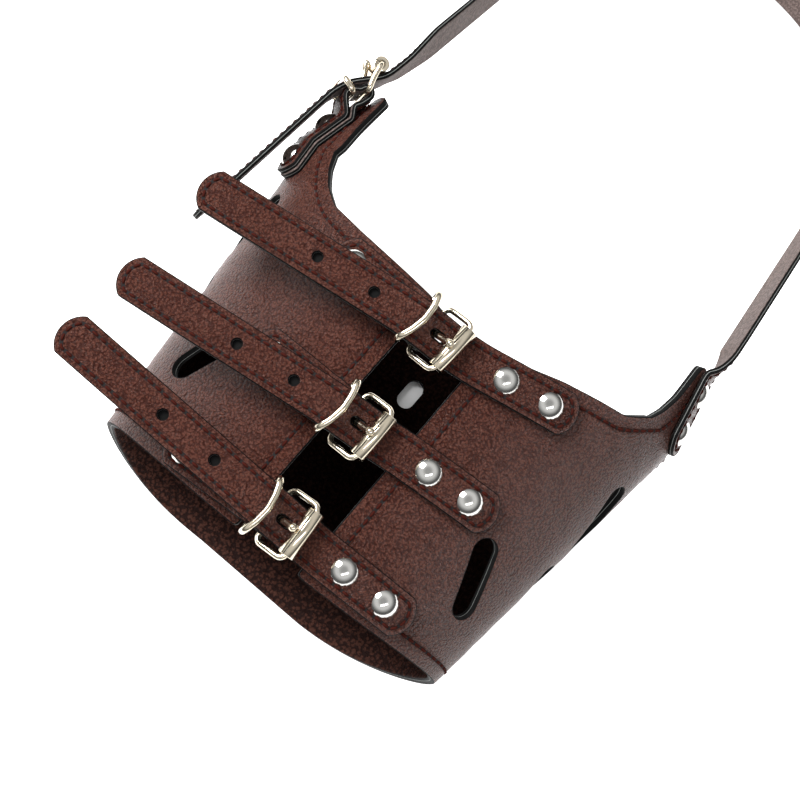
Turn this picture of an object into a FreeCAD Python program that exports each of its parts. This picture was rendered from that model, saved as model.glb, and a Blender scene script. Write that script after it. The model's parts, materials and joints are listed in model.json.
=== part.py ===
"""Leather sleeve muzzle for a large dog, closed by three buckled straps over an open top.

Frame: origin on the table under the belly, -Y towards the nose, +Y towards the neck,
+X the dog's side with the riveted straps, -X the side with the buckle tabs, +Z up.
Millimetres throughout.
"""

import FreeCAD, Part
import math
import os
from FreeCAD import Placement, Rotation, Vector

# ---- sleeve: a tapered tube of two plies, open at both ends and along the top
FRONT_Y = -68.0            # where the front half-width and half-height hold
KINK_Y = 52.0              # behind this the two ear tabs turn inwards
TAIL_Y = 95.0              # where the inward turn is measured
FRONT_HALF_WIDTH = 71.8
KINK_HALF_WIDTH = 86.2
TAIL_HALF_WIDTH = 78.0
FRONT_HALF_HEIGHT = 39.0
KINK_HALF_HEIGHT = 44.8
BELLY_FLAT = 24.0          # half-width of the flat on which the sleeve rests
ROUNDNESS = 2.2            # exponent of the sleeve's section, 2.0 is an ellipse
OUTER_PLY = 1.9
LINING_PLY = 1.4
WALL = OUTER_PLY + LINING_PLY
GAP_HALF = 12.3            # half the opening along the top

# ---- outline of the sleeve seen from the side, as y and z of its corners
FRONT_TOP_Y = -67.7
FRONT_SIDE_Y = -65.2
FRONT_BELLY_Y = -74.4
REAR_TOP_Y = 28.4
REAR_CREST_Y = 34.0
REAR_SHOULDER_Y = 42.0
REAR_BELLY_Y = 45.0
TAB_ROOT_Y = 52.0
TAB_TIP_Y = 84.0
TAB_Z = 58.0
TAB_ROOT_HALF = 14.2
TAB_TIP_HALF = 6.4

# ---- air slots: distance round the wall from the top, y, and turn in degrees
SLOT_LENGTH = 28.0
SLOT_WIDTH = 9.0
SIDE_SLOTS = ((60.0, -29.5, 25.0), (91.0, 17.0, 20.0), (95.0, -18.0, 20.0))
VENT_Y = 21.0
VENT_LENGTH = 13.0
VENT_WIDTH = 7.0

# ---- straps
STRAP_WIDTH = 15.0
STRAP_PLY = 2.2
STRAP_END_RADIUS = 9.0     # of the arc that ends each strap
CLOSURES = {               # x and y of its frame, turn of its root, its free part and its buckle
    "rear": (1.7, 20.1, 14.0, 7.5, -3.0),
    "middle": (0.8, -18.0, 7.0, 7.5, 0.0),
    "front": (3.5, -56.9, 3.5, -0.5, 4.5),
}
ROOT_START_X = 13.0
STRAP_RIVET_X = (23.0, 39.3)
TAB_RIVET_X = (23.0, 39.3)
CROSSING_U = -4.5          # strap and buckle centre lines cross here
SEAT = 0.25                # the flat run of a strap stands this far off the skin
ROOT_END_X = 50.0
TAB_END_X = 47.5
HOLE_PITCH = 21.6
HOLE_RADIUS = 1.6
FIRST_HOLE_X = {"rear": -27.6, "middle": -28.2, "front": -30.1, "neck": -28.6}
TIP_X = -94.5              # where the free end of each closing strap ends
TIP_SLOPE = {"rear": -5.5, "middle": -5.5, "front": -1.5, "neck": -7.5}

# ---- buckles: u runs along the strap, w is height over the leather
HEEL_U = -9.0
HEEL_W = 0.6
WIRE_RADIUS = 1.0
FRAME_LENGTH = 11.8        # heel bar to roller bar
FRAME_INNER_HALF = 9.0
FRAME_TILT = 26.0
ROLLER_RADIUS = 2.7
ROLLER_WALL_GAP = 0.08
PIN_GAP = 0.08
PRONG_RADIUS = 0.9
PRONG_RING = 1.0
PRONG_LENGTH = 14.6
PRONG_LIFT = {"rear": 0.0, "middle": 0.0, "front": 9.0, "neck": 0.0}
KEEPER_U = -12.8
KEEPER_BAND = 2.4
KEEPER_WALL = 1.2
KEEPER_HALF = 9.9          # inside
FLEX_U = -19.0             # where the free end of a strap starts to bend
FLEX_GAP = 0.12

# ---- rivets
CAP_RADIUS = 4.5
CAP_HEIGHT = 2.0
SHANK_RADIUS = 1.6
BACK_CAP_RADIUS = 4.2
BACK_CAP_THICK = 0.8
SAGITTA = 0.35             # a flat cap stands this far off the curved leather

# ---- neck strap
NECK_END_RIGHT_Y = 52.0
NECK_END_LEFT_Y = 39.0
NECK_RIVETS_RIGHT = (60.0, 75.5)
NECK_RIVETS_LEFT = (45.5, 62.0)
NECK_HEEL_Y = 78.5
NECK_LEAN = 14.0           # the tabs lean inwards at the top
NECK_HINGE_Y = 98.0
NECK_HINGE_X = 79.0
LOOP_STRAIGHT = 104.0
LOOP_HALF_WIDTH = 76.0
LOOP_GAP = 0.35
LOOP_FLOOR = 0.4
NECK_TIP_Y = 4.0

X_AXIS = Vector(1, 0, 0)
Y_AXIS = Vector(0, 1, 0)
Z_AXIS = Vector(0, 0, 1)
SOLE_SLOPE = math.degrees(math.atan2(2 * (KINK_HALF_HEIGHT - FRONT_HALF_HEIGHT), KINK_Y - FRONT_Y))
HALF_STRAP = STRAP_WIDTH / 2
REACH = 300.0


# ---- the sleeve's surface
def half_width(y):
    if y <= KINK_Y:
        share = (y - FRONT_Y) / (KINK_Y - FRONT_Y)
        return FRONT_HALF_WIDTH + share * (KINK_HALF_WIDTH - FRONT_HALF_WIDTH)
    share = (y - KINK_Y) / (TAIL_Y - KINK_Y)
    return KINK_HALF_WIDTH + share * (TAIL_HALF_WIDTH - KINK_HALF_WIDTH)


def half_height(y):
    share = (min(y, KINK_Y) - FRONT_Y) / (KINK_Y - FRONT_Y)
    return FRONT_HALF_HEIGHT + share * (KINK_HALF_HEIGHT - FRONT_HALF_HEIGHT)


def upper_point(angle, y, offset=0.0):
    """Point on the upper half of the wall: angle 0 at +X, 90 at the top, 180 at -X."""
    power = 2 / ROUNDNESS
    cosine = math.cos(math.radians(angle))
    sine = math.sin(math.radians(angle))
    x = math.copysign(abs(cosine) ** power, cosine) * (half_width(y) + offset)
    z = half_height(y) + max(sine, 0.0) ** power * (half_height(y) + offset)
    return Vector(x, y, z)


def lower_point(angle, y, side, offset=0.0):
    """Point on the lower half: angle 0 at the side, 90 where the flat belly starts."""
    power = 2 / ROUNDNESS
    cosine = max(math.cos(math.radians(angle)), 0.0)
    sine = max(math.sin(math.radians(angle)), 0.0)
    x = BELLY_FLAT + cosine ** power * (half_width(y) + offset - BELLY_FLAT)
    z = half_height(y) - sine ** power * (half_height(y) + offset)
    return Vector(side * x, y, z)


def spline(points):
    curve = Part.BSplineCurve()
    curve.interpolate(points)
    return curve.toShape()


def section(y, offset):
    steps = 24
    upper = [upper_point(180.0 * i / steps, y, offset) for i in range(steps + 1)]
    edges = [spline(upper)]
    quarter = 12
    left = [lower_point(90.0 * i / quarter, y, -1, offset) for i in range(quarter + 1)]
    right = [lower_point(90.0 * i / quarter, y, 1, offset) for i in range(quarter + 1)]
    edges.append(spline(left))
    edges.append(Part.LineSegment(left[-1], right[-1]).toShape())
    edges.append(spline(right[::-1]))
    return Part.Wire(edges)


def tube_solid(offset):
    """The whole sleeve as a filled solid, its skin moved out by offset."""
    sections = [section(y, offset) for y in (-90.0, KINK_Y, TAIL_Y + 6.0)]
    return Part.makeLoft(sections, True, True)


def layer(low, high):
    """A leather layer that follows the sleeve, between two distances from its skin."""
    return tube_solid(high).cut(tube_solid(low))


def surface_at(x, y):
    """Skin point over a place in plan, on the upper half, with its outward normal."""
    share = min(abs(x) / half_width(y), 1.0) ** ROUNDNESS
    z = half_height(y) * (1 + (1 - share) ** (1 / ROUNDNESS))
    return Vector(x, y, z), skin_normal(Vector(x, y, z))


def side_point(side, y, z):
    """Skin point on the side wall at a height, with its outward normal."""
    share = min(abs(z - half_height(y)) / half_height(y), 1.0) ** ROUNDNESS
    x = half_width(y) * (1 - share) ** (1 / ROUNDNESS)
    return Vector(side * x, y, z), skin_normal(Vector(side * x, y, z))


def skin_normal(point):
    def level(p):
        across = (abs(p.x) / half_width(p.y)) ** ROUNDNESS
        up = (abs(p.z - half_height(p.y)) / half_height(p.y)) ** ROUNDNESS
        return across + up

    step = 0.01
    slopes = [(level(point + axis * step) - level(point - axis * step)) for axis in (X_AXIS, Y_AXIS, Z_AXIS)]
    return Vector(*slopes).normalize()


def arc_point(distance, y, side):
    """Skin point at a distance round the wall from the top."""
    travelled = 0.0
    last = upper_point(90.0, y)
    angle = 90.0
    while travelled < distance and angle > -80.0:
        angle -= 0.5
        point = upper_point(angle, y) if angle >= 0 else lower_point(-angle, y, 1)
        travelled += (point - last).Length
        last = point
    return Vector(side * last.x, last.y, last.z)


# ---- outlines
def rounded_wire(corners, radii):
    """Closed wire through corners, each rounded by its radius where that isn't zero."""
    edges = []
    starts = []
    ends = []
    count = len(corners)
    for i in range(count):
        corner = corners[i]
        back = (corners[i - 1] - corner).normalize()
        ahead = (corners[(i + 1) % count] - corner).normalize()
        if radii[i] == 0:
            starts.append(corner)
            ends.append(corner)
            continue
        half = back.getAngle(ahead) / 2
        trim = radii[i] / math.tan(half)
        starts.append(corner + back * trim)
        ends.append(corner + ahead * trim)
        bisector = (back + ahead).normalize()
        middle = corner + bisector * (radii[i] / math.sin(half) - radii[i])
        edges.append(Part.Arc(starts[-1], middle, ends[-1]).toShape())
    for i in range(count):
        if (starts[(i + 1) % count] - ends[i]).Length > 1e-6:
            edges.append(Part.LineSegment(ends[i], starts[(i + 1) % count]).toShape())
    return Part.Wire(Part.__sortEdges__(edges))


def side_profile():
    """Prism that trims the tube to its outline seen from the side."""
    top = 120.0
    under = -6.0
    outline = [
        ((REAR_TOP_Y, top), 0), ((REAR_TOP_Y, 87.3), 0), ((REAR_CREST_Y, 85.8), 0),
        ((REAR_SHOULDER_Y, 80.6), 0),
        ((TAB_ROOT_Y, TAB_Z + TAB_ROOT_HALF), 12.0), ((TAB_TIP_Y, TAB_Z + TAB_TIP_HALF), 5.0),
        ((TAB_TIP_Y, TAB_Z - TAB_TIP_HALF), 5.0), ((TAB_ROOT_Y, TAB_Z - TAB_ROOT_HALF), 12.0),
        ((REAR_BELLY_Y + 1.0, 30.0), 0), ((REAR_BELLY_Y, under), 0),
    ]
    rear = [Vector(0, y, z) for (y, z), radius in outline]
    radii = [radius for place, radius in outline]
    front_low = Vector(0, FRONT_BELLY_Y, under)
    front_high = Vector(0, FRONT_TOP_Y - 2.0, top)
    corners = rear + [front_low, Vector(0, FRONT_SIDE_Y, TAB_Z), front_high]
    wire = rounded_wire(corners, radii + [0, 80.0, 0])
    prism = Part.Face(wire).extrude(X_AXIS * 2 * REACH)
    prism.translate(X_AXIS * -REACH)
    return prism


def box_between(low, high):
    return Part.makeBox(high[0] - low[0], high[1] - low[1], high[2] - low[2], Vector(*low))


def cylinder(radius, length, base, direction):
    return Part.makeCylinder(radius, length, base, direction)


def stadium(length, width, depth):
    """Slot cutter centred on the origin, long along X, through along Z."""
    half = length / 2 - width / 2
    body = box_between((-half, -width / 2, -depth), (half, width / 2, depth))
    for end in (-half, half):
        body = body.fuse(cylinder(width / 2, 2 * depth, Vector(end, 0, -depth), Z_AXIS))
    return body


def slot_cutters():
    cutters = []
    depth = 7.0
    for side in (-1, 1):
        for distance, y, turn in SIDE_SLOTS:
            point = arc_point(distance, y, side)
            normal = skin_normal(point)
            along = (Y_AXIS - normal * Y_AXIS.dot(normal)).normalize()
            across = normal.cross(along)
            outward = across if across.z < 0 else -across
            angle = math.radians(turn)
            long_axis = along * math.cos(angle) - outward * math.sin(angle)
            short_axis = normal.cross(long_axis)
            spin = Rotation(long_axis, short_axis, normal, "XYZ")
            cutter = stadium(SLOT_LENGTH, SLOT_WIDTH, depth)
            cutter.Placement = Placement(point, spin)
            cutters.append(cutter)
    vent = stadium(VENT_LENGTH, VENT_WIDTH, depth)
    vent.Placement = Placement(Vector(0, VENT_Y, 0), Rotation(Z_AXIS, 90))
    return cutters + [vent]


def rivet_places():
    """Every rivet as name, skin point, outward normal and thickness under its cap."""
    places = []
    for name, (x, y, root_turn, free_turn, buckle_turn) in CLOSURES.items():
        for i in range(2):
            right_x = STRAP_RIVET_X[i]
            left_x = -TAB_RIVET_X[i]
            right_y = root_y(name) + right_x * math.tan(math.radians(root_turn))
            left_y = tab_y(name) + left_x * math.tan(math.radians(buckle_turn))
            places.append((f"rivet_{name}_strap_{i + 1}", *surface_at(right_x, right_y), STRAP_PLY))
            places.append((f"rivet_{name}_tab_{i + 1}", *surface_at(left_x, left_y), 2 * STRAP_PLY))
    for i in range(2):
        right = side_point(1, NECK_RIVETS_RIGHT[i], TAB_Z)
        left = side_point(-1, NECK_RIVETS_LEFT[i], TAB_Z)
        places.append((f"rivet_neck_strap_{i + 1}", *right, STRAP_PLY))
        places.append((f"rivet_neck_tab_{i + 1}", *left, 2 * STRAP_PLY))
    return places


def shank_cutters():
    length = WALL + 3 * STRAP_PLY + 4
    return [
        cylinder(SHANK_RADIUS + 0.05, length, point - normal * (WALL + 2), normal)
        for name, point, normal, thick in rivet_places()
    ]


def rivet(point, normal, thick):
    """Domed cap outside, shank through the leather, flat cap inside."""
    seat = point + normal * (thick + 0.02)
    sphere_radius = (CAP_RADIUS ** 2 + CAP_HEIGHT ** 2) / (2 * CAP_HEIGHT)
    centre = seat - normal * (sphere_radius - CAP_HEIGHT)
    dome = Part.makeSphere(sphere_radius, centre)
    dome = dome.common(cylinder(CAP_RADIUS, CAP_HEIGHT + 1, seat, normal))
    back = point - normal * (WALL + SAGITTA + BACK_CAP_THICK)
    base = cylinder(BACK_CAP_RADIUS, BACK_CAP_THICK, back, normal)
    shank = cylinder(SHANK_RADIUS, WALL + SAGITTA + thick + 0.5, back + normal * 0.4, normal)
    return dome.fuse([base, shank]).removeSplitter()


# ---- straps that follow the sleeve
def strap_plan(start, end, turn, y):
    """Prism over a strap's plan from near the gap to its rounded riveted end."""
    sign = 1 if end > 0 else -1
    sagitta = STRAP_END_RADIUS - math.sqrt(STRAP_END_RADIUS ** 2 - HALF_STRAP ** 2)
    corners = [Vector(start, -HALF_STRAP, 0), Vector(end - sign * sagitta, -HALF_STRAP, 0)]
    corners += [Vector(end, 0, 0), Vector(end - sign * sagitta, HALF_STRAP, 0), Vector(start, HALF_STRAP, 0)]
    edges = [Part.LineSegment(corners[0], corners[1]).toShape()]
    edges.append(Part.Arc(corners[1], corners[2], corners[3]).toShape())
    edges.append(Part.LineSegment(corners[3], corners[4]).toShape())
    edges.append(Part.LineSegment(corners[4], corners[0]).toShape())
    prism = Part.Face(Part.Wire(edges)).extrude(Z_AXIS * 80.0)
    prism.Placement = Placement(Vector(0, y, 52.0), Rotation(Z_AXIS, turn))
    return prism


def root_y(name):
    """Where the centre line of a strap's riveted root crosses the plane x = 0."""
    x, y, root_turn, free_turn, buckle_turn = CLOSURES[name]
    join_y = y + (ROOT_START_X - x) * math.tan(math.radians(free_turn))
    return join_y - ROOT_START_X * math.tan(math.radians(root_turn))


def tab_y(name):
    """Where the centre line of a buckle tab crosses the plane x = 0."""
    x, y, root_turn, free_turn, buckle_turn = CLOSURES[name]
    bend = math.tan(math.radians(free_turn)) - math.tan(math.radians(buckle_turn))
    return y + CROSSING_U * bend - x * math.tan(math.radians(buckle_turn))


def closure_frame(x, y, turn):
    """Local frame of a closure: u along the strap, v across it, w off the leather."""
    top = surface_at(GAP_HALF, y)[0].z + SEAT
    return Placement(Vector(x, y, top), Rotation(Z_AXIS, turn) * Rotation(X_AXIS, SOLE_SLOPE))


def strap_frame(name):
    x, y, root_turn, free_turn, buckle_turn = CLOSURES[name]
    return closure_frame(x, y, free_turn)


def buckle_frame_of(name):
    """Frame of a closure's buckle; its centre line crosses the strap's at CROSSING_U."""
    x, y, root_turn, free_turn, buckle_turn = CLOSURES[name]
    return closure_frame(x, tab_y(name) + x * math.tan(math.radians(buckle_turn)), buckle_turn)


def neck_frame():
    """Local frame of the neck buckle on the left tab: u backwards, w outwards."""
    point, normal = side_point(-1, NECK_HEEL_Y, TAB_Z)
    inward = math.atan2(KINK_HALF_WIDTH - TAIL_HALF_WIDTH, TAIL_Y - KINK_Y)
    u_axis = Vector(math.sin(inward), math.cos(inward), 0)
    lean = math.radians(NECK_LEAN)
    outward = Vector(-math.cos(inward), math.sin(inward), 0)
    w_axis = outward * math.cos(lean) + Z_AXIS * math.sin(lean)
    v_axis = w_axis.cross(u_axis)
    origin = point + w_axis * 3.0 - u_axis * HEEL_U
    return Placement(origin, Rotation(u_axis, v_axis, w_axis, "XYZ"))


def ribbon(path, thick, half):
    """Strap that follows a path of (u, w) points along its lower face."""
    lower = [Vector(u, 0, w) for u, w in path]
    upper = []
    for i, point in enumerate(lower):
        before = lower[max(i - 1, 0)]
        after = lower[min(i + 1, len(lower) - 1)]
        into = (point - before).normalize() if i else (after - point).normalize()
        out = (after - point).normalize() if i < len(lower) - 1 else into
        tangent = (into + out).normalize()
        normal = Vector(tangent.z, 0, -tangent.x)
        if normal.z < 0:
            normal = -normal
        upper.append(point + normal * (thick / max(tangent.dot(out), 0.5)))
    outline = lower + upper[::-1] + [lower[0]]
    solid = Part.Face(Part.makePolygon(outline)).extrude(Y_AXIS * 2 * half)
    solid.translate(Y_AXIS * -half)
    return solid


def tip_plan(start, end):
    """Prism over the plan of a free strap end that runs towards -u."""
    sagitta = STRAP_END_RADIUS - math.sqrt(STRAP_END_RADIUS ** 2 - HALF_STRAP ** 2)
    edges = [Part.LineSegment(Vector(start, HALF_STRAP, 0), Vector(end + sagitta, HALF_STRAP, 0)).toShape()]
    arc = Part.Arc(
        Vector(end + sagitta, HALF_STRAP, 0), Vector(end, 0, 0), Vector(end + sagitta, -HALF_STRAP, 0)
    )
    edges.append(arc.toShape())
    edges.append(Part.LineSegment(Vector(end + sagitta, -HALF_STRAP, 0), Vector(start, -HALF_STRAP, 0)).toShape())
    edges.append(Part.LineSegment(Vector(start, -HALF_STRAP, 0), Vector(start, HALF_STRAP, 0)).toShape())
    prism = Part.Face(Part.Wire(edges)).extrude(Z_AXIS * 80.0)
    prism.translate(Z_AXIS * -40.0)
    return prism


def billet_path(right_end):
    """Lower face of a strap through its buckle, from the right end to the bend."""
    return [right_end, (0.0, 0.35), (-7.5, 4.1), (-12.5, 6.35), (FLEX_U, 6.8)]


def flex_centre():
    return Vector(FLEX_U, 0, 6.8 + STRAP_PLY / 2)


def prong_slot():
    """Opening in the strap round the prong, long enough for the prong to lift."""
    return box_between((-8.3, -1.7, 0.0), (-2.6, 1.7, 12.0))


def billet_middle(right_end):
    """The strap from its root through the buckle to the bend, in the local frame."""
    path = billet_path(right_end)
    body = ribbon(path, STRAP_PLY, HALF_STRAP)
    centre = flex_centre()
    knuckle = cylinder(STRAP_PLY / 2 + FLEX_GAP, 2 * HALF_STRAP + 2, centre - Y_AXIS * (HALF_STRAP + 1), Y_AXIS)
    beyond = box_between((FLEX_U - 20, -20, -10), (FLEX_U, 20, 30))
    return body.cut([knuckle, beyond, prong_slot()])


def billet_tip(slope, length, first_hole):
    """The free end beyond the bend, with its adjusting holes."""
    drop = math.tan(math.radians(slope)) * length
    start = flex_centre() - Z_AXIS * (STRAP_PLY / 2)
    path = [(start.x, start.z), (start.x - length, start.z + drop)]
    body = ribbon(path, STRAP_PLY, HALF_STRAP)
    body = body.common(tip_plan(FLEX_U + 2, FLEX_U - length))
    body = body.cut(box_between((FLEX_U - 0.01, -20, -20), (FLEX_U + 10, 20, 40)))
    centre = flex_centre()
    rod = cylinder(STRAP_PLY / 2, STRAP_WIDTH, centre - Y_AXIS * HALF_STRAP, Y_AXIS)
    body = body.fuse(rod).removeSplitter()
    for i in range(2):
        u = first_hole - i * HOLE_PITCH
        if u - HOLE_RADIUS > FLEX_U - length:
            body = body.cut(cylinder(HOLE_RADIUS, 60, Vector(u, 0, -30), Z_AXIS))
    return body


# ---- buckle hardware in the local frame
def buckle_frame():
    """Rectangular wire frame: heel bar at the origin of u, roller bar at FRAME_LENGTH."""
    half = FRAME_INNER_HALF + WIRE_RADIUS
    corners = [Vector(0, -half, 0), Vector(FRAME_LENGTH, -half, 0)]
    corners += [Vector(FRAME_LENGTH, half, 0), Vector(0, half, 0)]
    bend = 2.2
    path = rounded_wire(corners, [bend] * 4)
    first = path.OrderedEdges[0]
    start = first.valueAt(first.FirstParameter)
    tangent = first.tangentAt(first.FirstParameter)
    profile = Part.Wire(Part.makeCircle(WIRE_RADIUS, start, tangent))
    return path.makePipeShell([profile], True, True)


def roller():
    half = FRAME_INNER_HALF - 0.9
    tube = cylinder(ROLLER_RADIUS, 2 * half, Vector(FRAME_LENGTH, -half, 0), Y_AXIS)
    bore = cylinder(WIRE_RADIUS + ROLLER_WALL_GAP, 2 * half, Vector(FRAME_LENGTH, -half, 0), Y_AXIS)
    return tube.cut(bore)


def prong(lift):
    """Ring round the heel bar and a straight pin that lies on the roller."""
    inner = WIRE_RADIUS + PIN_GAP
    outer = inner + PRONG_RING
    half = 1.1
    ring = cylinder(outer, 2 * half, Vector(0, -half, 0), Y_AXIS)
    rise = math.degrees(math.asin((ROLLER_RADIUS + PRONG_RADIUS + 0.05) / FRAME_LENGTH))
    pin = cylinder(PRONG_RADIUS, PRONG_LENGTH, Vector(0, 0, 0), X_AXIS)
    tip = Part.makeSphere(PRONG_RADIUS, Vector(PRONG_LENGTH, 0, 0))
    body = ring.fuse([pin, tip])
    body = body.cut(cylinder(inner, 4 * half, Vector(0, -2 * half, 0), Y_AXIS)).removeSplitter()
    body.rotate(Vector(0, 0, 0), Y_AXIS, -(rise + lift))
    return body


def keeper():
    """Half-round metal loop: a flat bar under the strap and an arch over it."""
    def loop(inset):
        half = KEEPER_HALF + inset
        low = 3.6 - inset
        shoulder = 9.2
        crown = 10.6 + inset
        corners = [Vector(0, -half, low), Vector(0, half, low), Vector(0, half, shoulder)]
        edges = [Part.LineSegment(corners[0], corners[1]).toShape()]
        edges.append(Part.LineSegment(corners[1], corners[2]).toShape())
        left = Vector(0, -half, shoulder)
        edges.append(Part.Arc(corners[2], Vector(0, 0, crown), left).toShape())
        edges.append(Part.LineSegment(left, corners[0]).toShape())
        return Part.Face(Part.Wire(edges))

    ring = loop(KEEPER_WALL).cut(loop(0.0)).extrude(X_AXIS * KEEPER_BAND)
    ring.translate(X_AXIS * (KEEPER_U - KEEPER_BAND / 2))
    return ring


def tab_head(base):
    """The part of a buckle tab that wraps the heel bar and holds the keeper."""
    wrap_radius = WIRE_RADIUS + STRAP_PLY
    join = -20.2
    upper = 2 * STRAP_PLY
    bump = 5.9
    outline = [(join, base), (-12.3 if base == 0 else HEEL_U, base)]
    outline += [(HEEL_U, HEEL_W - wrap_radius), (HEEL_U, HEEL_W + wrap_radius)]
    outline += [(-12.2, bump), (-17.2, bump), (join, upper)]
    points = [Vector(u, -HALF_STRAP, w) for u, w in outline]
    if base != 0:
        points.pop(1)
    body = Part.Face(Part.makePolygon(points + [points[0]])).extrude(Y_AXIS * STRAP_WIDTH)
    wrap = cylinder(wrap_radius, STRAP_WIDTH, Vector(HEEL_U, -HALF_STRAP, HEEL_W), Y_AXIS)
    return body.fuse(wrap)


def tab_cutters():
    bar = cylinder(WIRE_RADIUS + PIN_GAP, 40, Vector(HEEL_U, -20, HEEL_W), Y_AXIS)
    slot = box_between((HEEL_U - 3.3, -1.5, -20), (HEEL_U + 10, 1.5, 20))
    pocket = box_between((KEEPER_U - 2.7, -20, 2.2), (KEEPER_U + 1.8, 20, 3.8))
    return [bar, slot, pocket]


def place(shape, placement):
    moved = shape.copy()
    moved.Placement = placement.multiply(moved.Placement)
    return moved


def hardware(name, frame):
    """Frame, roller, prong and keeper of one buckle, in the object's frame."""
    heel = Placement(Vector(HEEL_U, 0, HEEL_W), Rotation(Y_AXIS, -FRAME_TILT))
    seat = frame.multiply(heel)
    return {
        f"buckle_frame_{name}": place(buckle_frame(), seat),
        f"roller_{name}": place(roller(), seat),
        f"prong_{name}": place(prong(PRONG_LIFT[name]), seat),
        f"keeper_{name}": place(keeper(), frame),
    }


# ---- sub-parts
def sleeve_plies():
    trim = side_profile()
    gap = box_between((-GAP_HALF, -REACH, 50.0), (GAP_HALF, REACH, 130.0))
    cutters = [gap] + slot_cutters() + shank_cutters()
    outer = layer(-OUTER_PLY, 0.0).common(trim).cut(cutters)
    lining = layer(-WALL, -OUTER_PLY).common(trim).cut(cutters)
    return {"sleeve_outer": outer, "sleeve_lining": lining}


def closure_leather(name, single, double, shanks):
    """Strap, its free end and the buckle tab of one closure."""
    x, y, root_turn, free_turn, buckle_turn = CLOSURES[name]
    free_frame = strap_frame(name)
    tab_frame = buckle_frame_of(name)
    root = single.common(strap_plan(ROOT_START_X, ROOT_END_X, root_turn, root_y(name)))
    middle = place(billet_middle((ROOT_START_X + 1.2 - x, 0.06)), free_frame)
    strap = root.fuse(middle).cut(shanks)
    length = FLEX_U - (TIP_X - x)
    tip = place(billet_tip(TIP_SLOPE[name], length, FIRST_HOLE_X[name] - x), free_frame)
    riveted = double.common(strap_plan(x - 13.2, -TAB_END_X, buckle_turn, tab_y(name)))
    tab = riveted.fuse(place(tab_head(0), tab_frame))
    tab = tab.cut([place(cutter, tab_frame) for cutter in tab_cutters()]).cut(shanks)
    return {f"strap_{name}": strap, f"strap_tip_{name}": tip, f"buckle_tab_{name}": tab}


def side_band(start_y, end_y, side):
    """Prism along X over a strap riveted to a tab, its front end an arc."""
    low = TAB_Z - HALF_STRAP
    high = TAB_Z + HALF_STRAP
    sagitta = STRAP_END_RADIUS - math.sqrt(STRAP_END_RADIUS ** 2 - HALF_STRAP ** 2)
    first = start_y + sagitta
    edges = [Part.LineSegment(Vector(0, first, high), Vector(0, end_y, high)).toShape()]
    edges.append(Part.LineSegment(Vector(0, end_y, high), Vector(0, end_y, low)).toShape())
    edges.append(Part.LineSegment(Vector(0, end_y, low), Vector(0, first, low)).toShape())
    edges.append(Part.Arc(Vector(0, first, low), Vector(0, start_y, TAB_Z), Vector(0, first, high)).toShape())
    return Part.Face(Part.Wire(edges)).extrude(X_AXIS * side * REACH)


def knuckle(side, radius, half_thick):
    centre = Vector(side * NECK_HINGE_X - half_thick, NECK_HINGE_Y, TAB_Z)
    return cylinder(radius, 2 * half_thick, centre, X_AXIS)


def link_to_knuckle(side, start, end):
    """Short flat run of strap in plan from start to end, ending in a disc at the hinge."""
    half = STRAP_PLY / 2
    direction = (end - start).normalize()
    across = Vector(-direction.y, direction.x, 0) * half
    points = [start + across, end + across, end - across, start - across]
    face = Part.Face(Part.makePolygon(points + [points[0]]))
    run = face.extrude(Z_AXIS * STRAP_WIDTH)
    run.translate(Z_AXIS * (TAB_Z - HALF_STRAP))
    return run.fuse(knuckle(side, HALF_STRAP, half))


def neck_right_root(single, shanks):
    band = single.common(side_band(NECK_END_RIGHT_Y, TAB_TIP_Y - 0.5, 1))
    point, normal = side_point(1, TAB_TIP_Y - 3.0, TAB_Z)
    start = Vector(point.x + 3.0, point.y, 0)
    run = link_to_knuckle(1, start, Vector(NECK_HINGE_X, NECK_HINGE_Y, 0))
    clear = tube_solid(0.02)
    return band.fuse(run.cut(clear)).cut(shanks)


def neck_left_leather(double, shanks):
    frame = neck_frame()
    head = place(tab_head(-2.5), frame)
    clear = tube_solid(0.02)
    riveted = double.common(side_band(NECK_END_LEFT_Y, NECK_HEEL_Y - 7.0, -1))
    tab = riveted.fuse(head.cut(clear))
    tab = tab.cut([place(cutter, frame) for cutter in tab_cutters()]).cut(shanks)
    middle = place(billet_middle((6.0, 0.2)), frame)
    start = frame.multVec(Vector(4.5, 0, 1.3))
    start.z = 0
    run = link_to_knuckle(-1, start, Vector(-NECK_HINGE_X, NECK_HINGE_Y, 0))
    strap = middle.fuse(run)
    length = NECK_HEEL_Y - NECK_TIP_Y + HEEL_U
    tip = place(billet_tip(TIP_SLOPE["neck"], length, FIRST_HOLE_X["neck"]), frame)
    return {"buckle_tab_neck": tab, "strap_neck_buckled": strap, "strap_tip_neck": tip}


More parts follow.
